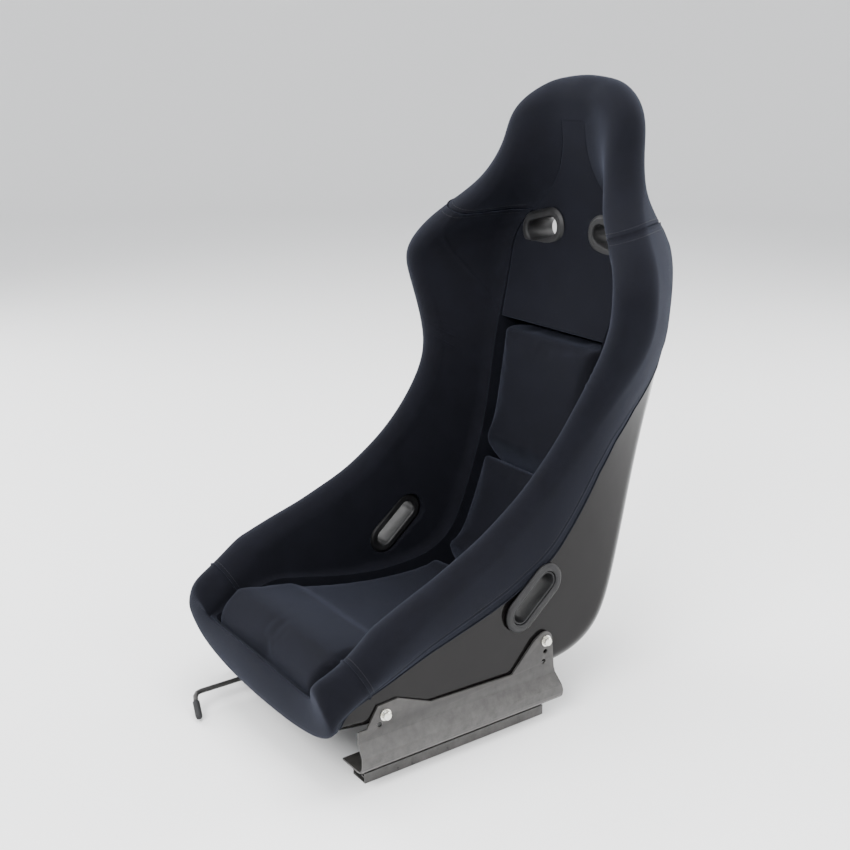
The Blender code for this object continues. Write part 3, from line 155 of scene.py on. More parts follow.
def form_point(u, v, pad, thin=0.0):
    """Point of the shell's middle surface (pad False) or of the pads' face (pad True).

    u counts stations, v runs across: 0 is the middle line and 1 the rim. thin is the
    share by which the pads' thickness gives way to that of the front lip.
    """
    u, v = np.broadcast_arrays(np.asarray(u, float), np.asarray(v, float))
    row = smooth_rows(u)
    sign = np.where(v < 0, -1.0, 1.0)
    centre, rim = row[..., 0:2], row[..., 2:4]
    depth = np.linalg.norm(rim - centre, axis=-1)
    upward = (rim - centre) / depth[..., None]
    zero = np.zeros_like(depth)
    start = np.stack([zero, zero], -1)
    corner = np.stack([row[..., 5], zero], -1)
    end = np.stack([row[..., 4], depth], -1)
    radius = row[..., 6]
    if pad:
        wall = end - corner
        wall = wall / np.linalg.norm(wall, axis=-1)[..., None]
        inward = np.stack([-wall[..., 1], wall[..., 0]], -1)
        end = end + inward * row[..., 10][..., None]
        thick = row[..., 7] + (LIP_THICKNESS - row[..., 7]) * thin
        start = np.stack([zero, thick], -1)
        corner = np.stack([row[..., 8], thick], -1)
        radius = row[..., 9]
    flat = along(start, corner, end, radius, np.abs(v), 0.85 if pad else 0.45)
    return SHIFT + np.stack([flat[..., 0] * sign,
                             centre[..., 0] + flat[..., 1] * upward[..., 0],
                             centre[..., 1] + flat[..., 1] * upward[..., 1]], -1)


def unit(vectors):
    """Vectors scaled to length one."""
    return vectors / np.linalg.norm(vectors, axis=-1, keepdims=True)


def form_normal(u, v, step=0.02):
    """Unit normal of the shell on the sitter's side: across differences crossed with onward."""
    across = form_point(u, v + step, False) - form_point(u, v - step, False)
    onward = form_point(u + step, v, False) - form_point(u - step, v, False)
    return unit(np.cross(across, onward))


def shell_at(u, v, offset=0.0):
    """The shell's middle surface moved along its normal, towards the sitter when positive."""
    return form_point(u, v, False) + form_normal(u, v) * np.asarray(offset)[..., None]


def under(u, v):
    """The shell's parameter beneath the pads' face at the same width."""
    return v * form_point(u, FLAT_SHARE, True)[..., 0] / form_point(u, FLAT_SHARE, False)[..., 0]


def reach(u):
    """How far across the shell goes: one on the sides and less round its corners."""
    front = np.clip(1.0 - u, 0.0, 1.0)
    top = np.clip(u - LAST + 1.0, 0.0, 1.0)
    return (FRONT_REACH + (1 - FRONT_REACH) * np.sqrt(1 - front ** 2)
            - (1 - TOP_REACH) * (1 - np.sqrt(1 - top ** 2)))


print("rim at the waist", np.round(form_point(11.0, 1.0, False), 3))


# %% [markdown]
# ## From arrays to meshes
# A surface over a grid needs its corner points and one list of quads. Both are whole
# numpy arrays, so a fine surface costs no more code than a coarse one.

# %% Mesh helpers
def ease(value, start, width):
    """A smooth step from 0 to 1 that begins at start and takes a width."""
    t = np.clip((value - start) / width, 0.0, 1.0)
    return t * t * (3 - 2 * t)


def grid_quads(rows, columns, wrap=False):
    """Quads between neighbouring rows; wrap joins the last column to the first."""
    index = np.arange(rows * columns).reshape(rows, columns)
    after = np.roll(index, -1, axis=1)
    if not wrap:
        index_a, index_b = index[:, :-1], index[:, 1:]
    else:
        index_a, index_b = index, after
    return np.stack([index_a[:-1], index_b[:-1], index_b[1:], index_a[1:]], -1).reshape(-1, 4)


def cap_ladder(ring, split):
    """Faces across a closed loop: its first run of points joined to the rest, run backwards."""
    one, two = ring[:split], ring[split:][::-1]
    steps = max(len(one), len(two)) - 1
    share = np.arange(steps + 1) / steps
    a = one[np.round(share * (len(one) - 1)).astype(int)]
    b = two[np.round(share * (len(two) - 1)).astype(int)]
    faces = []
    for k in range(steps):
        corners = list(dict.fromkeys((a[k], a[k + 1], b[k + 1], b[k])))
        if len(corners) > 2:
            faces.append(tuple(int(c) for c in corners))
    return faces


def new_piece(name, points, faces, finish, body, smooth=50.0, cloth=None):
    """An object at the origin from points and faces, welded, facing outward, with a finish."""
    mesh = bpy.data.meshes.new(name)
    mesh.from_pydata(np.asarray(points).reshape(-1, 3).tolist(), [],
                     faces.tolist() if isinstance(faces, np.ndarray) else faces)
    if cloth is not None:
        layer = mesh.attributes.new("cloth", "FLOAT_VECTOR", "POINT")
        layer.data.foreach_set("vector", np.ascontiguousarray(cloth, np.float32).ravel())
    work = bmesh.new()
    work.from_mesh(mesh)
    bmesh.ops.remove_doubles(work, verts=work.verts, dist=2e-6)
    bmesh.ops.recalc_face_normals(work, faces=work.faces)
    if work.calc_volume(signed=True) < 0:
        bmesh.ops.reverse_faces(work, faces=work.faces)
    work.to_mesh(mesh)
    work.free()
    mesh.shade_smooth()
    mesh.set_sharp_from_angle(angle=math.radians(smooth))
    thing = bpy.data.objects.new(name, mesh)
    bpy.context.scene.collection.objects.link(thing)
    mesh.materials.append(finish)
    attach(thing, body)
    return thing


def lengths(points, axis):
    """Distance travelled along one axis of a grid of points, starting at nought."""
    step = np.linalg.norm(np.diff(points, axis=axis), axis=-1)
    total = np.cumsum(step, axis=axis)
    first = np.zeros_like(np.take(total, [0], axis=axis))
    return np.concatenate([first, total], axis=axis)


def tube(path, radius, sides=10):
    """Points and faces of a round tube: a circle carried along a path, its ends closed.

    The frame at each point is the path's direction, its crossing with a fixed helper
    vector, and the crossing of those two.
    """
    path = np.asarray(path, float)
    ahead = unit(np.gradient(path, axis=0))
    helper = np.array([0.31, 0.17, 0.93])
    one = unit(np.cross(ahead, helper))
    two = np.cross(ahead, one)
    angle = np.linspace(0.0, 2 * math.pi, sides, endpoint=False)
    radius = np.broadcast_to(radius, (len(path),))[:, None, None]
    ring = one[:, None] * np.cos(angle)[:, None] + two[:, None] * np.sin(angle)[:, None]
    points = path[:, None] + radius * ring
    faces = grid_quads(len(path), sides, wrap=True).tolist()
    faces.append(tuple(range(sides)))
    faces.append(tuple(range((len(path) - 1) * sides, len(path) * sides)))
    return points.reshape(-1, 3), faces


# %% [markdown]
# ## Finishes
# Each finish is a small node tree. The brushed cover is nearly black: its colour comes
# from the sheen of raised fibres at grazing angles, so the sheen matters more than the
# base colour. The shell's gelcoat is a deep black under a clear, slightly wavy coat.

# %% Node helpers
def finish_tree(name, colour, roughness, metallic=0.0):
    """A new material and its node tree, with the constant values set on the shader."""
    finish = bpy.data.materials.new(name)
    finish.use_nodes = True
    shader = finish.node_tree.nodes["Principled BSDF"]
    shader.inputs["Base Color"].default_value = (*colour, 1.0)
    shader.inputs["Roughness"].default_value = roughness
    shader.inputs["Metallic"].default_value = metallic
    return finish, finish.node_tree, shader


def node(tree, kind, links=None, **values):
    """Add a node, set its properties and sockets, and link sockets given as pairs."""
    made = tree.nodes.new(kind)
    for key, value in values.items():
        if hasattr(made, key):
            setattr(made, key, value)
        else:
            made.inputs[key.replace("_", " ")].default_value = value
    for socket, source in (links or {}).items():
        tree.links.new(source, made.inputs[socket])
    return made


def noise(tree, place, scale, detail=3.0, roughness=0.55):
    """Noise texture output at a scale in cycles a metre."""
    made = node(tree, "ShaderNodeTexNoise", {"Vector": place}, Scale=scale, Detail=detail)
    made.inputs["Roughness"].default_value = roughness
    return made.outputs["Fac"]


def spread_to(tree, value, low, high):
    """Map 0.3-0.7 of a value to a range."""
    made = node(tree, "ShaderNodeMapRange", {"Value": value})
    for socket, number in (("From Min", 0.3), ("From Max", 0.7), ("To Min", low), ("To Max", high)):
        made.inputs[socket].default_value = number
    return made.outputs["Result"]


def mixed(tree, factor, first, second):
    """A colour between two others by a factor."""
    made = node(tree, "ShaderNodeMix", data_type="RGBA")
    tree.links.new(factor, made.inputs["Factor"])
    made.inputs["A"].default_value = (*first, 1.0)
    made.inputs["B"].default_value = (*second, 1.0)
    return made.outputs["Result"]


def bumped(tree, shader, layers):
    """Stack bump nodes: each layer is (height output, strength, distance in metres)."""
    normal = None
    for height, strength, distance in layers:
        made = node(tree, "ShaderNodeBump", {"Height": height}, Strength=strength, Distance=distance)
        if normal is not None:
            tree.links.new(normal, made.inputs["Normal"])
        normal = made.outputs["Normal"]
    tree.links.new(normal, shader.inputs["Normal"])


# %% Moulded plastic
def moulded(name, colour, roughness, grain=900.0, depth=0.00012):
    """Moulded plastic: fine grain, and a little variation in gloss where hands rub it."""
    finish, tree, shader = finish_tree(name, colour, roughness)
    shader.inputs["Specular IOR Level"].default_value = 0.25
    place = node(tree, "ShaderNodeTexCoord").outputs["Object"]
    fine = noise(tree, place, grain, 3.0, 0.6)
    rub = noise(tree, place, 45.0, 3.0, 0.6)
    lighter = tuple(c * 1.7 + 0.002 for c in colour)
    tree.links.new(mixed(tree, spread_to(tree, rub, 0.0, 1.0), colour, lighter),
                   shader.inputs["Base Color"])
    tree.links.new(spread_to(tree, rub, roughness - 0.08, roughness + 0.08),
                   shader.inputs["Roughness"])
    bumped(tree, shader, [(fine, 0.4, depth)])
    return finish


# %% Brushed fabric
def fabric(name, dark, light, rib=1.0):
    """Brushed knit: a fine rib along the cloth attribute, loose fibres and soft wear."""
    finish, tree, shader = finish_tree(name, light, 0.9)
    place = node(tree, "ShaderNodeTexCoord").outputs["Object"]
    cloth = node(tree, "ShaderNodeAttribute", attribute_name="cloth").outputs["Vector"]
    rows = node(tree, "ShaderNodeTexWave", {"Vector": cloth}, wave_type="BANDS",
                bands_direction="X", Scale=290.0, Distortion=1.2, Detail=2.0)
    rows.inputs["Detail Scale"].default_value = 3.0
    ribs = node(tree, "ShaderNodeTexWave", {"Vector": cloth}, wave_type="BANDS",
                bands_direction="Y", Scale=360.0, Distortion=1.6, Detail=2.0)
    ribs.inputs["Detail Scale"].default_value = 3.0
    weave = node(tree, "ShaderNodeMath", {0: rows.outputs["Fac"], 1: ribs.outputs["Fac"]},
                 operation="MULTIPLY").outputs["Value"]
    fibre = noise(tree, place, 1500.0, 4.0, 0.7)
    patch = noise(tree, place, 22.0, 4.0, 0.6)
    shade = node(tree, "ShaderNodeMath", {0: fibre, 1: patch}, operation="ADD").outputs["Value"]
    half = node(tree, "ShaderNodeMath", {0: shade}, operation="MULTIPLY")
    half.inputs[1].default_value = 0.5
    tree.links.new(mixed(tree, spread_to(tree, half.outputs["Value"], 0.0, 1.0), dark, light),
                   shader.inputs["Base Color"])
    tree.links.new(spread_to(tree, patch, 0.82, 0.97), shader.inputs["Roughness"])
    shader.inputs["Sheen Weight"].default_value = 0.10
    shader.inputs["Sheen Roughness"].default_value = 0.45
    shader.inputs["Sheen Tint"].default_value = (0.42, 0.47, 0.66, 1.0)
    shader.inputs["Specular IOR Level"].default_value = 0.06
    bumped(tree, shader, [(patch, 0.10, 0.004), (weave, 0.35 * rib, 0.0004), (fibre, 0.30, 0.0003)])
    return finish


COVER = fabric("cover_fabric", (0.0022, 0.0023, 0.0036), (0.0060, 0.0063, 0.0092))
PAD = fabric("pad_fabric", (0.0022, 0.0023, 0.0034), (0.0064, 0.0066, 0.0094), rib=1.4)
THREAD = moulded("thread", (0.007, 0.0075, 0.010), 0.6, grain=2500.0)
print("fabrics made")


# %% Gelcoat, plastic and metal
def gelcoat(name):
    """Deep black under a clear coat, with slight waviness, orange peel and dust."""
    finish, tree, shader = finish_tree(name, (0.006, 0.0055, 0.006), 0.12)
    place = node(tree, "ShaderNodeTexCoord").outputs["Object"]
    wave = noise(tree, place, 26.0, 2.0, 0.4)
    peel = noise(tree, place, 420.0, 2.0, 0.5)
    dust = noise(tree, place, 160.0, 5.0, 0.75)
    tree.links.new(spread_to(tree, dust, 0.05, 0.14), shader.inputs["Roughness"])
    tree.links.new(mixed(tree, spread_to(tree, dust, 0.0, 1.0), (0.0028, 0.0025, 0.0027),
                         (0.0058, 0.0051, 0.0050)), shader.inputs["Base Color"])
    shader.inputs["Coat Weight"].default_value = 0.12
    shader.inputs["Coat Roughness"].default_value = 0.03
    shader.inputs["Specular IOR Level"].default_value = 0.12
    bumped(tree, shader, [(wave, 0.10, 0.004), (peel, 0.03, 0.0004)])
    return finish


def coated_steel(name, colour, roughness, peel=700.0):
    """Powder-coated steel: orange peel, dust, and edges rubbed towards bare metal."""
    finish, tree, shader = finish_tree(name, colour, roughness)
    shader.inputs["Specular IOR Level"].default_value = 0.30
    place = node(tree, "ShaderNodeTexCoord").outputs["Object"]
    texture = noise(tree, place, peel, 3.0, 0.55)
    dust = noise(tree, place, 60.0, 5.0, 0.7)
    edge = node(tree, "ShaderNodeNewGeometry").outputs["Pointiness"]
    rubbed = node(tree, "ShaderNodeMapRange", {"Value": edge})
    for socket, number in (("From Min", 0.53), ("From Max", 0.62), ("To Min", 0.0), ("To Max", 0.8)):
        rubbed.inputs[socket].default_value = number
    worn = node(tree, "ShaderNodeMath", {0: rubbed.outputs["Result"], 1: dust}, operation="MULTIPLY")
    tree.links.new(mixed(tree, worn.outputs["Value"], colour, (0.13, 0.125, 0.12)),
                   shader.inputs["Base Color"])
    tree.links.new(spread_to(tree, dust, roughness - 0.07, roughness + 0.10),
                   shader.inputs["Roughness"])
    bumped(tree, shader, [(texture, 0.25, 0.00025)])
    return finish


def bright_metal(name, colour, roughness, tint):
    """Plated or plain steel: brushed streaks, a faint tint and small stains."""
    finish, tree, shader = finish_tree(name, colour, roughness, 1.0)
    place = node(tree, "ShaderNodeTexCoord").outputs["Object"]
    stretch = node(tree, "ShaderNodeMapping", {"Vector": place})
    stretch.inputs["Scale"].default_value = (1.0, 6.0, 1.0)
    streak = noise(tree, stretch.outputs["Vector"], 500.0, 3.0, 0.6)
    stain = noise(tree, place, 130.0, 4.0, 0.6)
    tree.links.new(mixed(tree, spread_to(tree, stain, 0.0, 1.0), colour, tint),
                   shader.inputs["Base Color"])
    tree.links.new(spread_to(tree, streak, roughness - 0.08, roughness + 0.10),
                   shader.inputs["Roughness"])
    bumped(tree, shader, [(streak, 0.2, 0.0001)])
    return finish


GELCOAT = gelcoat("shell_gelcoat")
RING = moulded("ring_plastic", (0.006, 0.006, 0.0065), 0.46)
GRIP = moulded("grip_plastic", (0.010, 0.010, 0.011), 0.58, grain=500.0, depth=0.0002)
BRACKET = coated_steel("bracket_black", (0.0085, 0.0080, 0.0080), 0.38)
RAIL = coated_steel("rail_black", (0.0080, 0.0080, 0.0085), 0.34)
ZINC = bright_metal("zinc", (0.74, 0.74, 0.72), 0.24, (0.62, 0.60, 0.52))
STEEL = bright_metal("steel", (0.42, 0.42, 0.43), 0.34, (0.30, 0.28, 0.25))
print("finishes made")


# %% [markdown]
# ## The shell
# The shell is one thin skin. Its middle surface comes from the stations; the outside is
# moved out by half the wall, and behind the sitter it also carries a raised panel with
# three upright flutes, a yoke above it and a short spine, which stiffen the real shell.

# %% The back's relief
PANEL_TOP = 0.628


def back_relief(place):
    """Height of the outside over the plain shell, as a function of x and z behind the sitter."""
    x, z = np.abs(place[..., 0]), place[..., 2]
    half = np.interp(z, [0.08, 0.18, 0.31, 0.40, 0.53, 0.58, 0.64],
                     [0.178, 0.170, 0.160, 0.150, 0.149, 0.152, 0.158])
    yoke = PANEL_TOP - 0.010 + 0.25 * (x - 0.09) ** 2
    panel = (1 - ease(x, half - 0.008, 0.014)) * (1 - ease(z, yoke, 0.020))
    flute = (np.exp(-((x - 0.100 + 0.02 * (z - 0.4)) / 0.0055) ** 2)
             + np.exp(-(x / 0.0065) ** 2)) * ease(z, 0.12, 0.05) * (1 - ease(z, 0.570, 0.03))
    spine = np.exp(-(x / 0.016) ** 4) * ease(z, 0.640, 0.05)
    shoulder = np.exp(-((z - 0.655 - 0.2 * x) / 0.014) ** 2) * (1 - ease(x, 0.09, 0.05))
    return 0.0070 * panel - 0.0030 * flute * panel + 0.0035 * spine + 0.002 * shoulder


def make_shell():
    """Both faces of the shell on one fine grid, joined round the edge into a closed skin."""
    rows, columns = 330, 2 * 74 + 1
    u = np.concatenate([1 - np.cos(np.linspace(0, math.pi / 2, 14)),
                        np.linspace(1.0, LAST - 1.0, rows - 26)[1:-1],
                        LAST - 1 + np.sin(np.linspace(0, math.pi / 2, 14))])
    v = np.linspace(-1.0, 1.0, columns)
    grid_u = np.repeat(u[:, None], columns, 1)
    grid_v = v[None, :] * reach(u)[:, None]
    inside = shell_at(grid_u, grid_v, np.full(grid_u.shape, SHELL_WALL / 2))
    outside = shell_at(grid_u, grid_v, np.full(grid_u.shape, -SHELL_WALL / 2))
    behind = ease(grid_u, 6.6, 1.2)
    outside = outside - form_normal(grid_u, grid_v) * (behind * back_relief(outside))[..., None]
    n, m = grid_u.shape
    index = np.arange(n * m).reshape(n, m)
    border = np.concatenate([index[0, :], index[1:, -1], index[-1, -2::-1], index[-2:0:-1, 0]])
    after = np.roll(border, -1)
    quads = grid_quads(n, m)
    rim = np.stack([border, after, after + n * m, border + n * m], -1)
    faces = np.vstack([quads, quads[:, ::-1] + n * m, rim])
    return new_piece("shell", np.vstack([inside.reshape(-1, 3), outside.reshape(-1, 3)]), faces,
                     GELCOAT, "seat", smooth=60.0)


shell = make_shell()
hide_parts("seat_shell")
print("shell", len(shell.data.polygons), "faces")


# %% [markdown]
# ## Slot outlines
# The belt slots are stadium shapes: two half circles and two straight sides. The same
# outline cuts the shell and the pads, and carries the rings' profiles.

# %% Slots
SHOULDER_SIZE = (0.074, 0.030)
LAP_SIZE = (0.088, 0.026)
RING_SPREAD = 0.0155


def stadium(size, away, arc=22):
    """Points round a slot: two half circles of half the height, moved away by a distance."""
    radius = size[1] / 2 + away
    straight = (size[0] - size[1]) / 2
    angle = np.linspace(-math.pi / 2, math.pi / 2, arc)
    right = np.stack([straight + radius * np.cos(angle), radius * np.sin(angle)], 1)
    run = np.linspace(1.0, -1.0, 14)[1:-1]
    top = np.stack([straight * run, np.full(len(run), radius)], 1)
    return np.vstack([right, top, -right, -top])


def slot_frame(kind, side):
    """Middle, long axis, short axis and way out (towards the sitter) of a slot's ring."""
    low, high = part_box("%s_ring_outer_%s" % (kind, side))
    middle = np.array((low + high) / 2)
    sign = SIDES[side]
    if kind == "shoulder":
        tilt, out = math.radians(14.0), np.array([0.0, -1.0, 0.0])
        long_axis = np.array([sign * math.cos(tilt), 0.0, -math.sin(tilt)])
        middle[1] = high.y
    else:
        tilt, out = math.radians(41.0), np.array([-sign, 0.0, 0.0])
        long_axis = np.array([0.0, math.cos(tilt), math.sin(tilt)])
        middle[0] = max(abs(low.x), abs(high.x)) * sign
    return middle, long_axis, np.cross(out, long_axis), out


def ring_piece(name, kind, side, profile, node_name):
    """A profile of (outward, along the way out) pairs carried round the slot's outline."""
    size = SHOULDER_SIZE if kind == "shoulder" else LAP_SIZE
    middle, long_axis, short_axis, out = slot_frame(kind, side)
    rings = []
    for away, height in profile:
        outline = stadium(size, away)
        rings.append(middle + outline[:, :1] * long_axis + outline[:, 1:] * short_axis + height * out)
    rings = np.array(rings + rings[:1])
    ring = new_piece(name, rings, grid_quads(len(rings), rings.shape[1], wrap=True), RING,
                     "seat", smooth=45.0)
    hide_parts(node_name)
    return ring


def rounded_profile(corners, radius, steps=5):
    """A closed outline whose corners are replaced by short parabolas that start a radius away."""
    corners = np.array(corners, float)
    before, after = np.roll(corners, 1, 0), np.roll(corners, -1, 0)
    one, two = before - corners, after - corners
    long_one, long_two = np.linalg.norm(one, axis=1), np.linalg.norm(two, axis=1)
    back = np.minimum(radius, 0.45 * np.minimum(long_one, long_two))[:, None]
    start, end = corners + one / long_one[:, None] * back, corners + two / long_two[:, None] * back
    t = np.linspace(0.0, 1.0, steps)[None, :, None]
    bent = (1 - t) ** 2 * start[:, None] + 2 * t * (1 - t) * corners[:, None] + t ** 2 * end[:, None]
    return bent.reshape(-1, 2)


def make_rings():
    """The sleeve ring on the sitter's side and the flat ring behind, for each of four slots."""
    for kind in ("shoulder", "lap"):
        for side in SIDES:
            inner_low, inner_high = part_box("%s_ring_inner_%s" % (kind, side))
            outer_low, outer_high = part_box("%s_ring_outer_%s" % (kind, side))
            axis = 1 if kind == "shoulder" else 0
            thick = outer_high[axis] - outer_low[axis]
            if kind == "shoulder":
                deep = outer_high.y - inner_low.y
                back = outer_high.y - inner_high.y
            else:
                deep = (max(abs(outer_low.x), abs(outer_high.x))
                        - min(abs(inner_low.x), abs(inner_high.x)))
                back = (max(abs(outer_low.x), abs(outer_high.x))
                        - max(abs(inner_low.x), abs(inner_high.x)))
            front = [(0.0, back), (0.0, deep - 0.0030), (0.0020, deep), (0.0105, deep),
                     (RING_SPREAD, deep - 0.0042), (RING_SPREAD, deep - 0.0056),
                     (0.003, deep - 0.0056), (0.003, back)]
            ring_piece("%s_bezel_%s" % (kind, side), kind, side, rounded_profile(front, 0.0013),
                       "%s_ring_inner_%s" % (kind, side))
            rear = [(0.0036, thick), (RING_SPREAD, thick), (RING_SPREAD, thick * 0.45),
                    (0.0115, 0.0), (0.0062, 0.0), (0.0036, thick * 0.3)]
            ring_piece("%s_back_ring_%s" % (kind, side), kind, side, rounded_profile(rear, 0.0012),
                       "%s_ring_outer_%s" % (kind, side))
    print("rings made")


make_rings()


def slot_cutter(kind, side, away, low, high):
    """A closed slot-shaped block, for cutting a hole and then thrown away."""
    size = SHOULDER_SIZE if kind == "shoulder" else LAP_SIZE
    middle, long_axis, short_axis, out = slot_frame(kind, side)
    outline = stadium(size, away, arc=14)
    flat = middle + outline[:, :1] * long_axis + outline[:, 1:] * short_axis
    points = np.vstack([flat + low * out, flat + high * out])
    count = len(flat)
    faces = grid_quads(2, count, wrap=True).tolist()
    faces += [tuple(range(count)), tuple(range(count, 2 * count))]
    return new_piece("cutter", points, faces, RING, "seat")


def cut_slot(piece, kind, side, away, low, high):
    """Take a slot-shaped hole out of a piece, and apply the cut."""
    cutter = slot_cutter(kind, side, away, low, high)
    step = piece.modifiers.new("cut", "BOOLEAN")
    step.operation, step.object = "DIFFERENCE", cutter
    apply_modifiers(piece)
    bpy.data.objects.remove(cutter, do_unlink=True)


def apply_modifiers(piece):
    """Replace a piece's mesh by what its modifiers make of it, and drop the modifiers."""
    graph = bpy.context.evaluated_depsgraph_get()
    made = bpy.data.meshes.new_from_object(piece.evaluated_get(graph))
    piece.modifiers.clear()
    piece.data = made


for kind in ("shoulder", "lap"):
    for side in SIDES:
        cut_slot(shell, kind, side, 0.0036, -0.02, 0.03)
print("slots cut in the shell,", len(shell.data.polygons), "faces")


# %% [markdown]
# ## The rim pads
# The thick rim is foam under a cover that wraps the shell's edge: over the inside face,
# round the rim and down the outside to a sewn hem. A section of it is a closed loop; its
# outer run is what shows. Seams are narrow channels sunk into that outer run, worked out
# after the smooth shape, so that they keep their width.

# %% Rim sections
ROLL_BEYOND = 0.029
HEM_THICKNESS = 0.003
HEM_AT = np.array([0.0, 3.0, 6.0, 8.0, 10.0, 11.0, 12.0, 13.0, 14.0, 15.0, 16.0, 17.0])
HEM_SHARE = np.array([0.80, 0.86, 0.88, 0.87, 0.85, 0.82, 0.76, 0.66, 0.58, 0.55, 0.54, 0.66])
FACE_POINTS, ROLL_POINTS, OUTSIDE_POINTS, BACK_POINTS = 64, 34, 44, 12


def between(first, last, share):
    """Pairs (station, across) on straight lines in the parameters, one row a section."""
    u = first[0][:, None] + (last[0] - first[0])[:, None] * share[None, :]
    v = first[1][:, None] + (last[1] - first[1])[:, None] * share[None, :]
    return u, v


def rim_sections(edge, inner, hem, beyond=ROLL_BEYOND, lip_share=0.0):
    """Outer and hidden runs of a rim pad, for whole arrays of sections at once.

    The outer run is the pads' face from the seam to the rim, a half ellipse round the
    rim, and the outside, where the foam thins to the hem as the square of the way. The
    hidden run comes back between the foam and the shell. Where lip_share is one the foam
    is as thin as on the front lip.
    """
    count = len(edge[0])
    lip_share = np.broadcast_to(lip_share, (count,))
    beyond = np.broadcast_to(beyond, (count,))
    face_u, face_v = between(inner, edge, np.linspace(0.0, 1.0, FACE_POINTS))
    face = form_point(face_u, face_v, True, lip_share[:, None])
    rim = shell_at(edge[0], edge[1], np.zeros(count))
    normal = form_normal(edge[0], edge[1])
    near = shell_at(edge[0] + 0.03 * (inner[0] - edge[0]), edge[1] + 0.03 * (inner[1] - edge[1]),
                    np.zeros(count))
    outward = rim - near
    outward = unit(outward - normal * (outward * normal).sum(-1, keepdims=True))
    foam = smooth_rows(edge[0])[..., 11]
    outer = rim - normal * (SHELL_WALL / 2 + foam)[:, None]
    middle, half = (face[:, -1] + outer) / 2, (face[:, -1] - outer) / 2
    angle = np.linspace(0.0, math.pi, ROLL_POINTS)[None, 1:-1, None]
    roll = (middle[:, None] + half[:, None] * np.cos(angle)
            + (outward * beyond[:, None])[:, None] * np.sin(angle))
    share = np.linspace(0.0, 1.0, OUTSIDE_POINTS)
    out_u, out_v = between(edge, hem, share)
    fall = foam[:, None] + (HEM_THICKNESS - foam[:, None]) * share[None, :] ** 2
    outside = shell_at(out_u, out_v, -(SHELL_WALL / 2 + fall))
    share = np.linspace(0.0, 1.0, BACK_POINTS)
    back_u, back_v = between(hem, edge, share)
    under_hem = shell_at(back_u, back_v, np.full(back_u.shape, -SKIN))
    edge_out = rim[:, None] + outward[:, None] * SKIN + normal[:, None] * SKIN * np.array(
        [[-0.6], [0.6]])
    foot_u, foot_v = between(edge, (inner[0], under(inner[0], inner[1])), share)
    under_face = shell_at(foot_u, foot_v, np.full(foot_u.shape, SKIN))
    return (np.concatenate([face, roll, outside], 1),
            np.concatenate([under_hem, edge_out, under_face], 1))


def relaxed(loops, weight, rounds, also_across=0):
    """Sections smoothed along the sweep: each goes part way to the mean of its neighbours.

    weight is nought where a section stays. also_across also smooths that many columns of
    each section, from the first, for places where the sections fan out unevenly.
    """
    loops = loops.copy()
    weight = weight[:, None, None]
    for _ in range(rounds):
        mean = loops.copy()
        mean[1:-1] = (loops[:-2] + loops[2:]) / 2
        mean[-1] = loops[-2] * np.array([0.0, 1.0, 1.0])
        loops += weight * (mean - loops)
        if also_across:
            part = loops[:, :also_across]
            part[:, 1:-1] += 0.5 * weight * ((part[:, :-2] + part[:, 2:]) / 2 - part[:, 1:-1])
    return loops


def surface_normals(grid):
    """Unit normals of a grid of points, from differences both ways, towards the outside."""
    normal = unit(np.cross(np.gradient(grid, axis=1), np.gradient(grid, axis=0)) + 1e-12)
    return normal


def groove(distance, width, depth):
    """A sewn channel: a bell-shaped dip of a depth, its width measured across."""
    return depth * np.exp(-(distance / width) ** 2)


def rounding(distance, radius):
    """How far a face falls back near an edge that is rounded with a radius."""
    t = np.clip(1 - distance / radius, 0.0, 1.0)
    return radius * (1 - np.sqrt(np.clip(1 - t * t, 0.0, 1.0)))


def soft_noise(points, size, seed):
    """Smooth unevenness from a few slanted waves with seeded directions, about -1 to 1."""
    chance = np.random.default_rng(seed)
    total = np.zeros(points.shape[:-1])
    for _ in range(6):
        way = unit(chance.normal(size=3)) / size * chance.uniform(0.7, 1.5)
        total += np.sin(points @ way + chance.uniform(0, 2 * math.pi))
    return total / 3.0


# %% [markdown]
# ## The long U
# From the shoulder down to the knee, round the front corner and across the front, the
# roll is one unbroken U. One sweep makes half of it, the corner is smoothed along the
# sweep, and the sweep is then cut at the sewn arc beside each knee into three pieces.

# %% The U of the rim
SHOULDER_SEAM = 16.50
SEAM_ACROSS = FLAT_SHARE + 0.004
SIDE_COUNT, CORNER_COUNT, FRONT_COUNT = 350, 70, 60
ARC_SEAM = 1.30             # station where the front lobe begins
FRONT_GROOVE = (0.08, 0.355)    # station and width share of the cushion's front corner
FRONT_HEM = (0.38, 0.55)
U_CALM_ROUNDS = 210         # smoothing rounds where the sweep turns the front corner
SEAM_FROM_HEM = 0.017       # the sewn channel that runs beside the hem


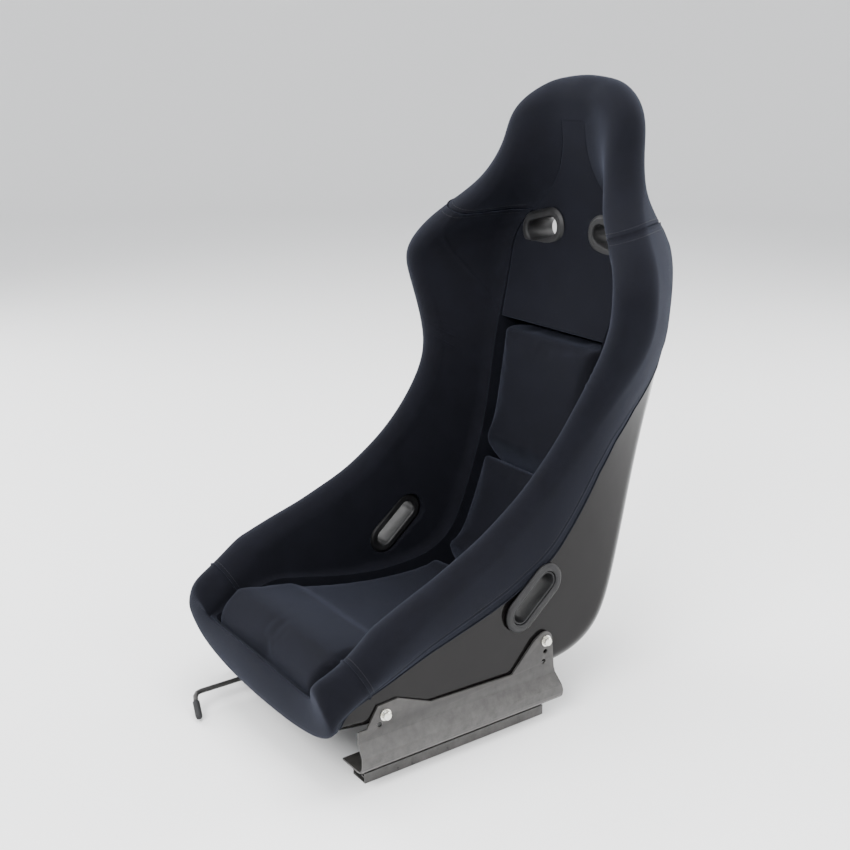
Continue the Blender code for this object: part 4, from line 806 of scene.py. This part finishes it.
def u_path():
    """Edge, inner seam and hem of half the U: down a side, round the corner, to the middle.

    On the corner the station is one minus a share of the sine of an angle, and the width
    share falls with its cosine, so each line leaves the side and meets the front squarely.
    """
    side = np.linspace(SHOULDER_SEAM, 1.0, SIDE_COUNT)[:-1]
    angle = np.linspace(0.0, math.pi / 2, CORNER_COUNT)
    front = np.linspace(1.0, 0.0, FRONT_COUNT)[1:]
    side_hem = np.interp(side, HEM_AT, HEM_SHARE)

    def line(corner_u, across_side, across_corner):
        u = np.concatenate([side, 1 - (1 - corner_u) * np.sin(angle), np.full(len(front), corner_u)])
        last = across_side[-1]
        v = np.concatenate([across_side, across_corner + (last - across_corner) * np.cos(angle),
                            across_corner * front])
        return u, v

    edge = line(0.0, np.ones(len(side)), FRONT_REACH)
    inner = line(FRONT_GROOVE[0], np.full(len(side), SEAM_ACROSS), FRONT_GROOVE[1])
    hem = line(FRONT_HEM[0], side_hem, FRONT_HEM[1])
    way = np.concatenate([np.zeros(len(side)), angle / (math.pi / 2), np.ones(len(front))])
    lip_share = ease(way - (edge[0] - 1.0) * (way == 0.0), -1.6, 2.5)
    return edge, inner, hem, lip_share


def side_dips(u, outer, inner_away, hem_away):
    """Depths of the seams, creases and uneven foam on half the U."""
    long_way = lengths(outer, 0)
    run = np.linspace(0, 1, outer.shape[1])[None, :]
    depth = rounding(inner_away, 0.0035)
    depth += rounding(long_way, 0.0020)
    depth += groove(hem_away - SEAM_FROM_HEM, 0.0020, 0.0010)
    across = inner_away / inner_away[:, -1:]
    column = u[:, None] * np.ones_like(run)
    diagonal = (column - 13.3) / 3.2 - across / 0.42
    depth += groove(diagonal * 0.16, 0.0030, 0.0012) * (column > 13.2) * (across < 0.42)
    for place, size in ((11.95, 0.0016), (12.30, 0.0012), (12.55, 0.0008)):
        crease = (column - place - 0.35 * (run - 0.45)) * 0.075
        depth += groove(crease, 0.0035, size) * np.exp(-((run - 0.45) / 0.10) ** 2)
    depth += 0.0007 * soft_noise(outer, 0.045, 3) + 0.0004 * soft_noise(outer, 0.018, 4)
    return depth


def cloth_map(loops):
    """Cloth coordinates of a swept pad: the way round each section, and the way along."""
    along_it = np.repeat(lengths(loops, 0).mean(1)[:, None], loops.shape[1], 1)
    return np.stack([lengths(loops, 1), along_it, np.zeros(along_it.shape)], -1)


def swept_pad(name, loops, split, node_name):
    """A closed pad from a row of closed sections, its ends capped."""
    count, size = loops.shape[:2]
    faces = grid_quads(count, size, wrap=True).tolist()
    first = np.arange(size)
    faces += cap_ladder(first, split) + cap_ladder(first + (count - 1) * size, split)
    pad = new_piece(name, loops, faces, COVER, "seat", smooth=70.0,
                    cloth=cloth_map(loops).reshape(-1, 3))
    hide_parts(node_name)
    print(name, len(pad.data.polygons), "faces")
    return pad


# %% [markdown]
# ## Stitches and welts
# Thread shows as short raised dashes beside each seam. Each dash is a small spindle, and
# one mesh holds a whole row. Along the hem the cover is turned round a cord, the welt.

# %% Stitches and welts
FLIP = np.array([-1.0, 1.0, 1.0])
STITCH_ROW = 0.0215         # a row of stitches, measured from the hem
STITCH_PITCH = 0.0052


def line_at(outer, away, distance):
    """Where each section of a grid is at a distance from its hem, and the normal there."""
    normals = surface_normals(outer)
    found = [[np.interp(distance, a[::-1], g[::-1, k]) for g in (p, n) for k in range(3)]
             for a, p, n in zip(away, outer, normals)]
    found = np.array(found)
    return found[:, :3], unit(found[:, 3:])


def stitches(name, path, normal, flip=1.0):
    """A row of sewn stitches: small spindles at an even pitch along a path.

    Each spindle is three hexagons along its length; the middle one is the widest.
    """
    path, normal = path * flip, normal * flip
    way = lengths(path, 0)
    place = np.arange(STITCH_PITCH, way[-1] - STITCH_PITCH, STITCH_PITCH)
    spot = np.stack([np.interp(place, way, path[:, k]) for k in range(3)], 1)
    up = unit(np.stack([np.interp(place, way, normal[:, k]) for k in range(3)], 1))
    ahead = unit(np.stack([np.interp(place + 1e-3, way, path[:, k]) for k in range(3)], 1) - spot)
    side = np.cross(ahead, up)
    angle = np.linspace(0.0, 2 * math.pi, 6, endpoint=False)
    width = np.array([0.25, 0.42, 0.25]) * 1e-3
    stand = np.array([-0.10, 0.22, -0.10]) * 1e-3
    travel = np.array([-1.9, 0.0, 1.9]) * 1e-3
    ring = (spot[:, None, None] + ahead[:, None, None] * travel[:, None, None]
            + up[:, None, None] * stand[:, None, None]
            + width[:, None, None] * (side[:, None, None] * np.cos(angle)[:, None]
                                      + up[:, None, None] * np.sin(angle)[:, None]))
    one = np.array(grid_quads(3, 6, wrap=True).tolist())
    shift = (np.arange(len(spot)) * 18)[:, None, None]
    faces = (one[None] + shift).reshape(-1, 4).tolist()
    caps = np.stack([np.arange(6), np.arange(12, 18)])
    faces += (caps[None] + shift).reshape(-1, 6).tolist()
    return new_piece(name, ring.reshape(-1, 3), faces, THREAD, "seat", smooth=40.0)


def welt(name, path, radius=0.0019):
    """The corded edge along a hem: a thin tube."""
    points, faces = tube(path, radius, 10)
    return new_piece(name, points, faces, COVER, "seat", smooth=180.0)


# %% The pieces of the U
def make_u():
    """Both side pads and the front lobe, cut from one sweep at the arc seams."""
    edge, inner, hem, lip_share = u_path()
    corner = np.exp(-((edge[0] - 0.35) / 0.55) ** 2) * ease(edge[1], 0.45, 0.35)
    outer, hidden = rim_sections(edge, inner, hem, ROLL_BEYOND + 0.010 * lip_share + 0.026 * corner,
                                 lip_share)
    calm = ease(-edge[0], -2.4, 1.2)
    both = relaxed(np.concatenate([outer, hidden], 1), calm, U_CALM_ROUNDS, outer.shape[1])
    outer, hidden = both[:, :outer.shape[1]], both[:, outer.shape[1]:]
    across = lengths(outer, 1)
    depth = side_dips(edge[0], outer, across, across[:, -1:] - across)
    steps = np.linalg.norm(np.diff(outer, axis=0), axis=-1)
    travelled = np.concatenate([np.zeros((1, outer.shape[1])), np.cumsum(steps, 0)])
    seam = int(np.argmax(edge[0] <= ARC_SEAM))
    from_seam = np.abs(travelled - travelled[seam])
    depth += rounding(from_seam, 0.0022)
    outer = outer - surface_normals(outer) * depth[..., None]
    loops = np.concatenate([outer, hidden], 1)
    split = outer.shape[1]
    normals = surface_normals(outer)
    sewn, upright = line_at(outer, across[:, -1:] - across, STITCH_ROW)
    for side, sign in SIDES.items():
        mirrored = np.array([sign, 1.0, 1.0])
        pad = swept_pad("side_pad_" + side, loops[:seam + 1] * mirrored, split, "bolster_" + side)
        welt("hem_welt_" + side, outer[:, -1] * mirrored)
        stitches("stitches_hem_" + side, sewn, upright, mirrored)
        stitches("stitches_side_shoulder_" + side, outer[3, 8:-6], normals[3, 8:-6], mirrored)
        stitches("stitches_lobe_" + side, outer[seam - 3, 14:-6], normals[seam - 3, 14:-6], mirrored)
        cut_slot(pad, "lap", side, 0.0036, -0.02, 0.10)
        cut_slot(pad, "lap", side, RING_SPREAD + 0.0004, 0.0385, 0.10)
    half = loops[seam:].copy()
    half[0] = half[0] + (half[1] - half[0]) * 0.05
    half[-1, :, 0] = 0.0
    swept_pad("front_roll_cover", np.concatenate([half, half[-2::-1] * FLIP]), split, "front_roll")


make_u()


# %% [markdown]
# ## The head pad
# The head's rim is the same fat roll carried over the top, so its sections run up one
# side, round the corner and on to the middle, and the other half is the mirror image.
# The gentle dish between the sides belongs to the upper back, which slips just under
# the head pad, as the real cover shows no seam there.

# %% The head pad
HEAD_START = SHOULDER_SEAM + 0.006
TOP_GROOVE = (19.08, 0.30)
HEAD_CALM_ROUNDS = 160
HEM_ARCH = ((HEAD_START, 0.60), (16.9, 0.62), (17.3, 0.61), (17.6, 0.52),
            (17.75, 0.44), (17.85, 0.34), (17.95, 0.22), (18.0, 0.12), (18.0, 0.0))


def trace(knots, place):
    """A smooth curve through a few knots, Catmull and Rom's form; place runs from 0 to 1."""
    knots = np.array(knots)
    ends = np.vstack([2 * knots[0] - knots[1], knots, knots[-1:] * 2 - knots[-2:-1]])
    place = np.clip(place, 0.0, 1.0) * (len(knots) - 1 - 1e-9)
    k = place.astype(int)
    t = (place - k)[:, None]
    a, b, c, d = (ends[k + n] for n in range(4))
    made = 0.5 * (2 * b + (c - a) * t + (2 * a - 5 * b + 4 * c - d) * t ** 2
                  + (3 * b - a - 3 * c + d) * t ** 3)
    return made[:, 0], made[:, 1]


def head_path():
    """Edge, inner line and hem of half the head pad, up one side and over to the middle.

    Round the top corner the station is the last side station plus the sine of an angle,
    and the width share falls with its cosine.
    """
    side = np.linspace(HEAD_START, LAST - 1.0, 110)[:-1]
    angle = np.linspace(0.0, math.pi / 2, 60)
    top = np.linspace(1.0, 0.0, 60)[1:]
    ones = np.ones(len(side))

    def line(corner_u, side_v, corner_v):
        u = np.concatenate([side, LAST - 1 + (corner_u - LAST + 1) * np.sin(angle),
                            np.full(len(top), corner_u)])
        v = np.concatenate([side_v * ones, corner_v + (side_v - corner_v) * np.cos(angle),
                            corner_v * top])
        return u, v

    edge = line(float(LAST), 1.0, TOP_REACH)
    inner = line(TOP_GROOVE[0], SEAM_ACROSS, TOP_GROOVE[1])
    way = np.concatenate([0.50 * (side - side[0]) / (LAST - 1 - side[0]),
                          0.50 + 0.30 * angle / (math.pi / 2), 1 - 0.20 * top])
    return edge, inner, trace(HEM_ARCH, way)


def make_head_pad():
    """The head pad: sections up one side, over the top and down the other side."""
    edge, inner, hem = head_path()
    outer, hidden = rim_sections(edge, inner, hem, ROLL_BEYOND + 0.008 * ease(edge[0], 18.5, 1.0))
    calm = ease(edge[0], 17.0, 1.5)
    both = relaxed(np.concatenate([outer, hidden], 1), calm, HEAD_CALM_ROUNDS, outer.shape[1])
    outer, hidden = both[:, :outer.shape[1]], both[:, outer.shape[1]:]
    across = lengths(outer, 1)
    long_way = lengths(outer, 0)
    depth = rounding(long_way, 0.0020)
    depth += groove(across[:, -1:] - across - SEAM_FROM_HEM, 0.0022, 0.0010)
    depth += 0.0007 * soft_noise(outer, 0.045, 5) + 0.0003 * soft_noise(outer, 0.018, 6)
    outer = outer - surface_normals(outer) * depth[..., None]
    half = np.concatenate([outer, hidden], 1)
    half[-1, :, 0] = 0.0
    other = half[-2::-1] * np.array([-1.0, 1.0, 1.0])
    loops = np.concatenate([half, other])
    swept_pad("head_cover", loops, outer.shape[1], "head_pad")
    hem_line = outer[:, -1]
    welt("hem_welt_head", np.vstack([hem_line, (hem_line * FLIP)[-2::-1]]))
    stitches("stitches_head_left", *line_at(outer, across[:, -1:] - across, STITCH_ROW))
    stitches("stitches_head_right", *line_at(outer, across[:, -1:] - across, STITCH_ROW), FLIP)
    stitches("stitches_shoulder_left", outer[5, 8:-6], surface_normals(outer)[5, 8:-6])
    stitches("stitches_shoulder_right", outer[5, 8:-6], surface_normals(outer)[5, 8:-6], FLIP)


make_head_pad()


# %% [markdown]
# ## The loose pads
# The cushion, the lower-back pad and the lumbar pad are loose foam pads in their own
# covers, held by hook-and-loop tape. Each starts as a flat-bottomed block a little
# smaller than its place. Cloth with pressure inside then swells it, as foam fills a
# cover, and a cap keeps it off its neighbours.

# %% Block and swelling
VOXEL = 0.005               # even mesh size before the cloth is filled
SWELL_CAP = 0.0035          # most that a pad may swell, so that it stays off its neighbours
def pad_block(u_range, v_end, fall=0.0, rows=90, columns=70, edge=0.014, foot=0.35, corner=0.0):
    """A closed pad: the pads' face over the shell, thinning near its edges.

    The top is the bottom plus the thickness times a share: foot at the border, rising
    to one over the edge distance as a quarter circle. fall is a longer such distance
    for the front end, where the cushion rolls down; corner narrows that end's corners.
    """
    u = np.linspace(*u_range, rows)
    v = np.linspace(-1.0, 1.0, columns)
    grid_u, grid_v = np.meshgrid(u, v, indexing="ij")
    ahead = np.clip(1 - (grid_u - u_range[0]) / 0.75, 0.0, 1.0)
    grid_v = grid_v * (v_end - corner * (1 - np.sqrt(1 - ahead ** 2)))
    top = form_point(grid_u, grid_v, True)
    sign_v = np.sign(grid_v)
    low = shell_at(grid_u, under(grid_u, np.abs(grid_v)) * sign_v, np.full(grid_u.shape, SKIN))
    long_way, wide_way = lengths(top, 0), lengths(top, 1)
    away = np.minimum(np.minimum(long_way, long_way[-1:] - long_way),
                      np.minimum(wide_way, wide_way[:, -1:] - wide_way))
    share = foot + (1 - foot) * np.sqrt(1 - np.clip(1 - away / edge, 0.0, 1.0) ** 2)
    if fall:
        share = share * (0.42 + 0.58 * np.sqrt(1 - np.clip(1 - long_way / fall, 0.0, 1.0) ** 2))
        share = share * (1 - 0.10 * ease(grid_u, FOLD_AT, 0.22))
    top = low + (top - low) * share[..., None]
    n, m = grid_u.shape
    index = np.arange(n * m).reshape(n, m)
    border = np.concatenate([index[0, :], index[1:, -1], index[-1, -2::-1], index[-2:0:-1, 0]])
    after = np.roll(border, -1)
    quads = grid_quads(n, m)
    rim = np.stack([border, after, after + n * m, border + n * m], -1)
    faces = np.vstack([quads, quads[:, ::-1] + n * m, rim])
    return np.vstack([top.reshape(-1, 3), low.reshape(-1, 3)]), faces


def swell(piece, cap, pressure=4.0, voxel=VOXEL, frames=20):
    """Remesh a pad evenly, let cloth with air inside fill it, and keep each move under a cap."""
    remesh = piece.modifiers.new("even", "REMESH")
    remesh.mode, remesh.voxel_size = "VOXEL", voxel
    apply_modifiers(piece)
    start = read_points(piece)
    cloth = piece.modifiers.new("fill", "CLOTH")
    cloth.settings.use_pressure = True
    cloth.settings.uniform_pressure_force = pressure
    cloth.settings.effector_weights.gravity = 0.0
    scene = bpy.context.scene
    for step in range(1, frames + 1):
        scene.frame_set(step)
    apply_modifiers(piece)
    scene.frame_set(1)
    end = read_points(piece)
    move = end - start
    size = np.linalg.norm(move, axis=1, keepdims=True)
    move *= np.minimum(1.0, cap / np.maximum(size, 1e-9))
    write_points(piece, start + move)
    calm = piece.modifiers.new("calm", "SMOOTH")
    calm.factor, calm.iterations = 0.5, 5
    apply_modifiers(piece)


def read_points(piece):
    """All vertex places of a piece as one array."""
    places = np.empty(len(piece.data.vertices) * 3)
    piece.data.vertices.foreach_get("co", places)
    return places.reshape(-1, 3)


def write_points(piece, places):
    """Put an array of places back into a piece."""
    piece.data.vertices.foreach_set("co", np.ascontiguousarray(places).ravel())
    piece.data.update()


def cloth_from_place(piece):
    """Cloth coordinates from place: x across the seat, and y plus z up along it."""
    places = read_points(piece)
    layer = piece.data.attributes.new("cloth", "FLOAT_VECTOR", "POINT")
    cloth = np.stack([places[:, 0], places[:, 1] + places[:, 2], np.zeros(len(places))], 1)
    layer.data.foreach_set("vector", cloth.astype(np.float32).ravel())


def make_loose_pad(name, node_name, u_range, v_end, **shape):
    """Block, swelling and one subdivision of a loose pad, with cloth coordinates from place."""
    points, faces = pad_block(u_range, v_end, **shape)
    pad = new_piece(name, points, faces, PAD, "seat", smooth=180.0)
    swell(pad, SWELL_CAP)
    smooth = pad.modifiers.new("fine", "SUBSURF")
    smooth.levels = smooth.render_levels = 1
    apply_modifiers(pad)
    pad.data.shade_smooth()
    cloth_from_place(pad)
    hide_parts(node_name)
    print(name, len(pad.data.polygons), "faces")
    return pad


LOOSE_EDGE = FLAT_SHARE - 0.006
FOLD_AT = 2.50              # station where the raised thigh part of the cushion ends
make_loose_pad("seat_cushion_cover", "seat_cushion", (FRONT_GROOVE[0] + 0.07, 6.2),
               LOOSE_EDGE, fall=0.070, corner=0.030)
make_loose_pad("lower_back_cover", "lower_back_pad", (6.45, 9.72), LOOSE_EDGE)
make_loose_pad("lumbar_cover", "lumbar_pad", (9.83, 13.27), LOOSE_EDGE)


# %% [markdown]
# ## The upper back
# This panel isn't loose: it fills the middle between the side pads and carries the two
# shoulder slots. Its foam is firm, so it isn't swelled with cloth, and the slots are
# cut through it after its surface is made.

# %% The upper back
def make_upper_back():
    """The centre panel behind the shoulders, from the lumbar pad to the head pad."""
    points, faces = pad_block((13.36, 19.13), FLAT_SHARE + 0.010, rows=200, columns=120,
                              edge=0.004, foot=0.965)
    pad = new_piece("upper_back_cover", points, faces, COVER, "seat", smooth=70.0)
    cloth_from_place(pad)
    for side in SIDES:
        cut_slot(pad, "shoulder", side, 0.0036, -0.02, 0.12)
    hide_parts("upper_back_pad")
    return pad


make_upper_back()


# %% [markdown]
# ## The mechanical parts
# Brackets, rails, bolts and the release gear keep their frame meshes and get finishes
# with wear on their edges.

# %% Finishes for the frame's own parts
FINISH_OF = {"side_bracket": BRACKET, "rod_hanger": BRACKET, "mount_bolt": ZINC,
             "mount_washer": ZINC, "rail_bolt": ZINC, "rail_spacer": ZINC,
             "threaded_insert": STEEL, "lower_rail": RAIL, "upper_rail": RAIL,
             "roller_cage": GRIP, "roller": STEEL, "release_rod": RAIL, "lever_grip": GRIP,
             "latch": STEEL, "slave_rod": RAIL, "link_wire": STEEL}
for name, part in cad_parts.items():
    if part.hide_render:
        continue
    kinds = [kind for kind in FINISH_OF if name.startswith(kind)]
    finish = FINISH_OF[max(kinds, key=len)]
    part.data.materials.clear()
    part.data.materials.append(finish)
print("frame parts finished")


# %% [markdown]
# ## Floor, light and camera
# A pale floor that curves up behind, large soft lights, and a camera at three-quarter
# height in front of the seat's left side.

# %% Stage
def make_floor():
    """A pale disc that curves up all round far away: a quarter circle, then a wall."""
    angle = np.linspace(0.0, math.pi / 2, 24)
    radius = np.concatenate([[0.0, 2.0, 4.0], 6.0 + 3.0 * np.sin(angle), [9.0]])
    height = np.concatenate([[0.0, 0.0, 0.0], 3.0 - 3.0 * np.cos(angle), [9.0]]) - 0.0005
    turn = np.linspace(0.0, 2 * math.pi, 96, endpoint=False)
    points = np.stack([radius[:, None] * np.cos(turn), radius[:, None] * np.sin(turn),
                       np.repeat(height[:, None], len(turn), 1)], -1)
    mesh = bpy.data.meshes.new("floor")
    mesh.from_pydata(points.reshape(-1, 3).tolist(), [],
                     grid_quads(len(radius), len(turn), wrap=True)[:, ::-1].tolist())
    mesh.shade_smooth()
    floor = bpy.data.objects.new("floor", mesh)
    bpy.context.scene.collection.objects.link(floor)
    finish, tree, shader = finish_tree("floor_paint", (0.90, 0.90, 0.90), 0.8)
    mesh.materials.append(finish)


def soft_light(name, place, aim, size, power, colour=(1.0, 1.0, 1.0)):
    """A square area light at a place, turned to face a point."""
    light = bpy.data.lights.new(name, "AREA")
    light.shape, light.size, light.size_y = "RECTANGLE", size[0], size[1]
    light.energy, light.color = power, colour
    thing = bpy.data.objects.new(name, light)
    thing.location = Vector(place)
    thing.rotation_euler = (Vector(aim) - Vector(place)).to_track_quat("-Z", "Y").to_euler()
    bpy.context.scene.collection.objects.link(thing)


make_floor()
AIM = (0.0, 0.0, 0.5)
soft_light("key", (1.2, -2.6, 2.6), AIM, (2.2, 1.6), 190.0)
soft_light("fill", (3.0, 0.6, 1.4), AIM, (1.8, 2.2), 80.0)
soft_light("side", (-2.8, -1.0, 1.8), AIM, (1.4, 2.4), 90.0)
soft_light("rear", (0.6, 3.0, 1.9), AIM, (2.6, 1.6), 90.0)
soft_light("top", (0.0, 0.2, 3.4), AIM, (2.5, 2.5), 130.0)
world = bpy.data.worlds.new("studio")
world.use_nodes = True
world.node_tree.nodes["Background"].inputs["Color"].default_value = (0.95, 0.97, 1.0, 1.0)
world.node_tree.nodes["Background"].inputs["Strength"].default_value = 1.0
bpy.context.scene.world = world

# %% Camera
CAMERA_AZIMUTH = math.radians(54.718)
CAMERA_ELEVATION = math.radians(17.257)
CAMERA_PLACE = Vector((1.46, -0.956 + RAIL_MIDDLE_Y, 0.991))
camera_data = bpy.data.cameras.new("camera")
camera_data.sensor_width = 36.0
camera_data.lens = 51.84
camera = bpy.data.objects.new("camera", camera_data)
back = Vector((math.sin(CAMERA_AZIMUTH) * math.cos(CAMERA_ELEVATION),
               -math.cos(CAMERA_AZIMUTH) * math.cos(CAMERA_ELEVATION),
               math.sin(CAMERA_ELEVATION)))
camera.location = CAMERA_PLACE
camera.rotation_euler = (-back).to_track_quat("-Z", "Y").to_euler()
bpy.context.scene.collection.objects.link(camera)
bpy.context.scene.camera = camera
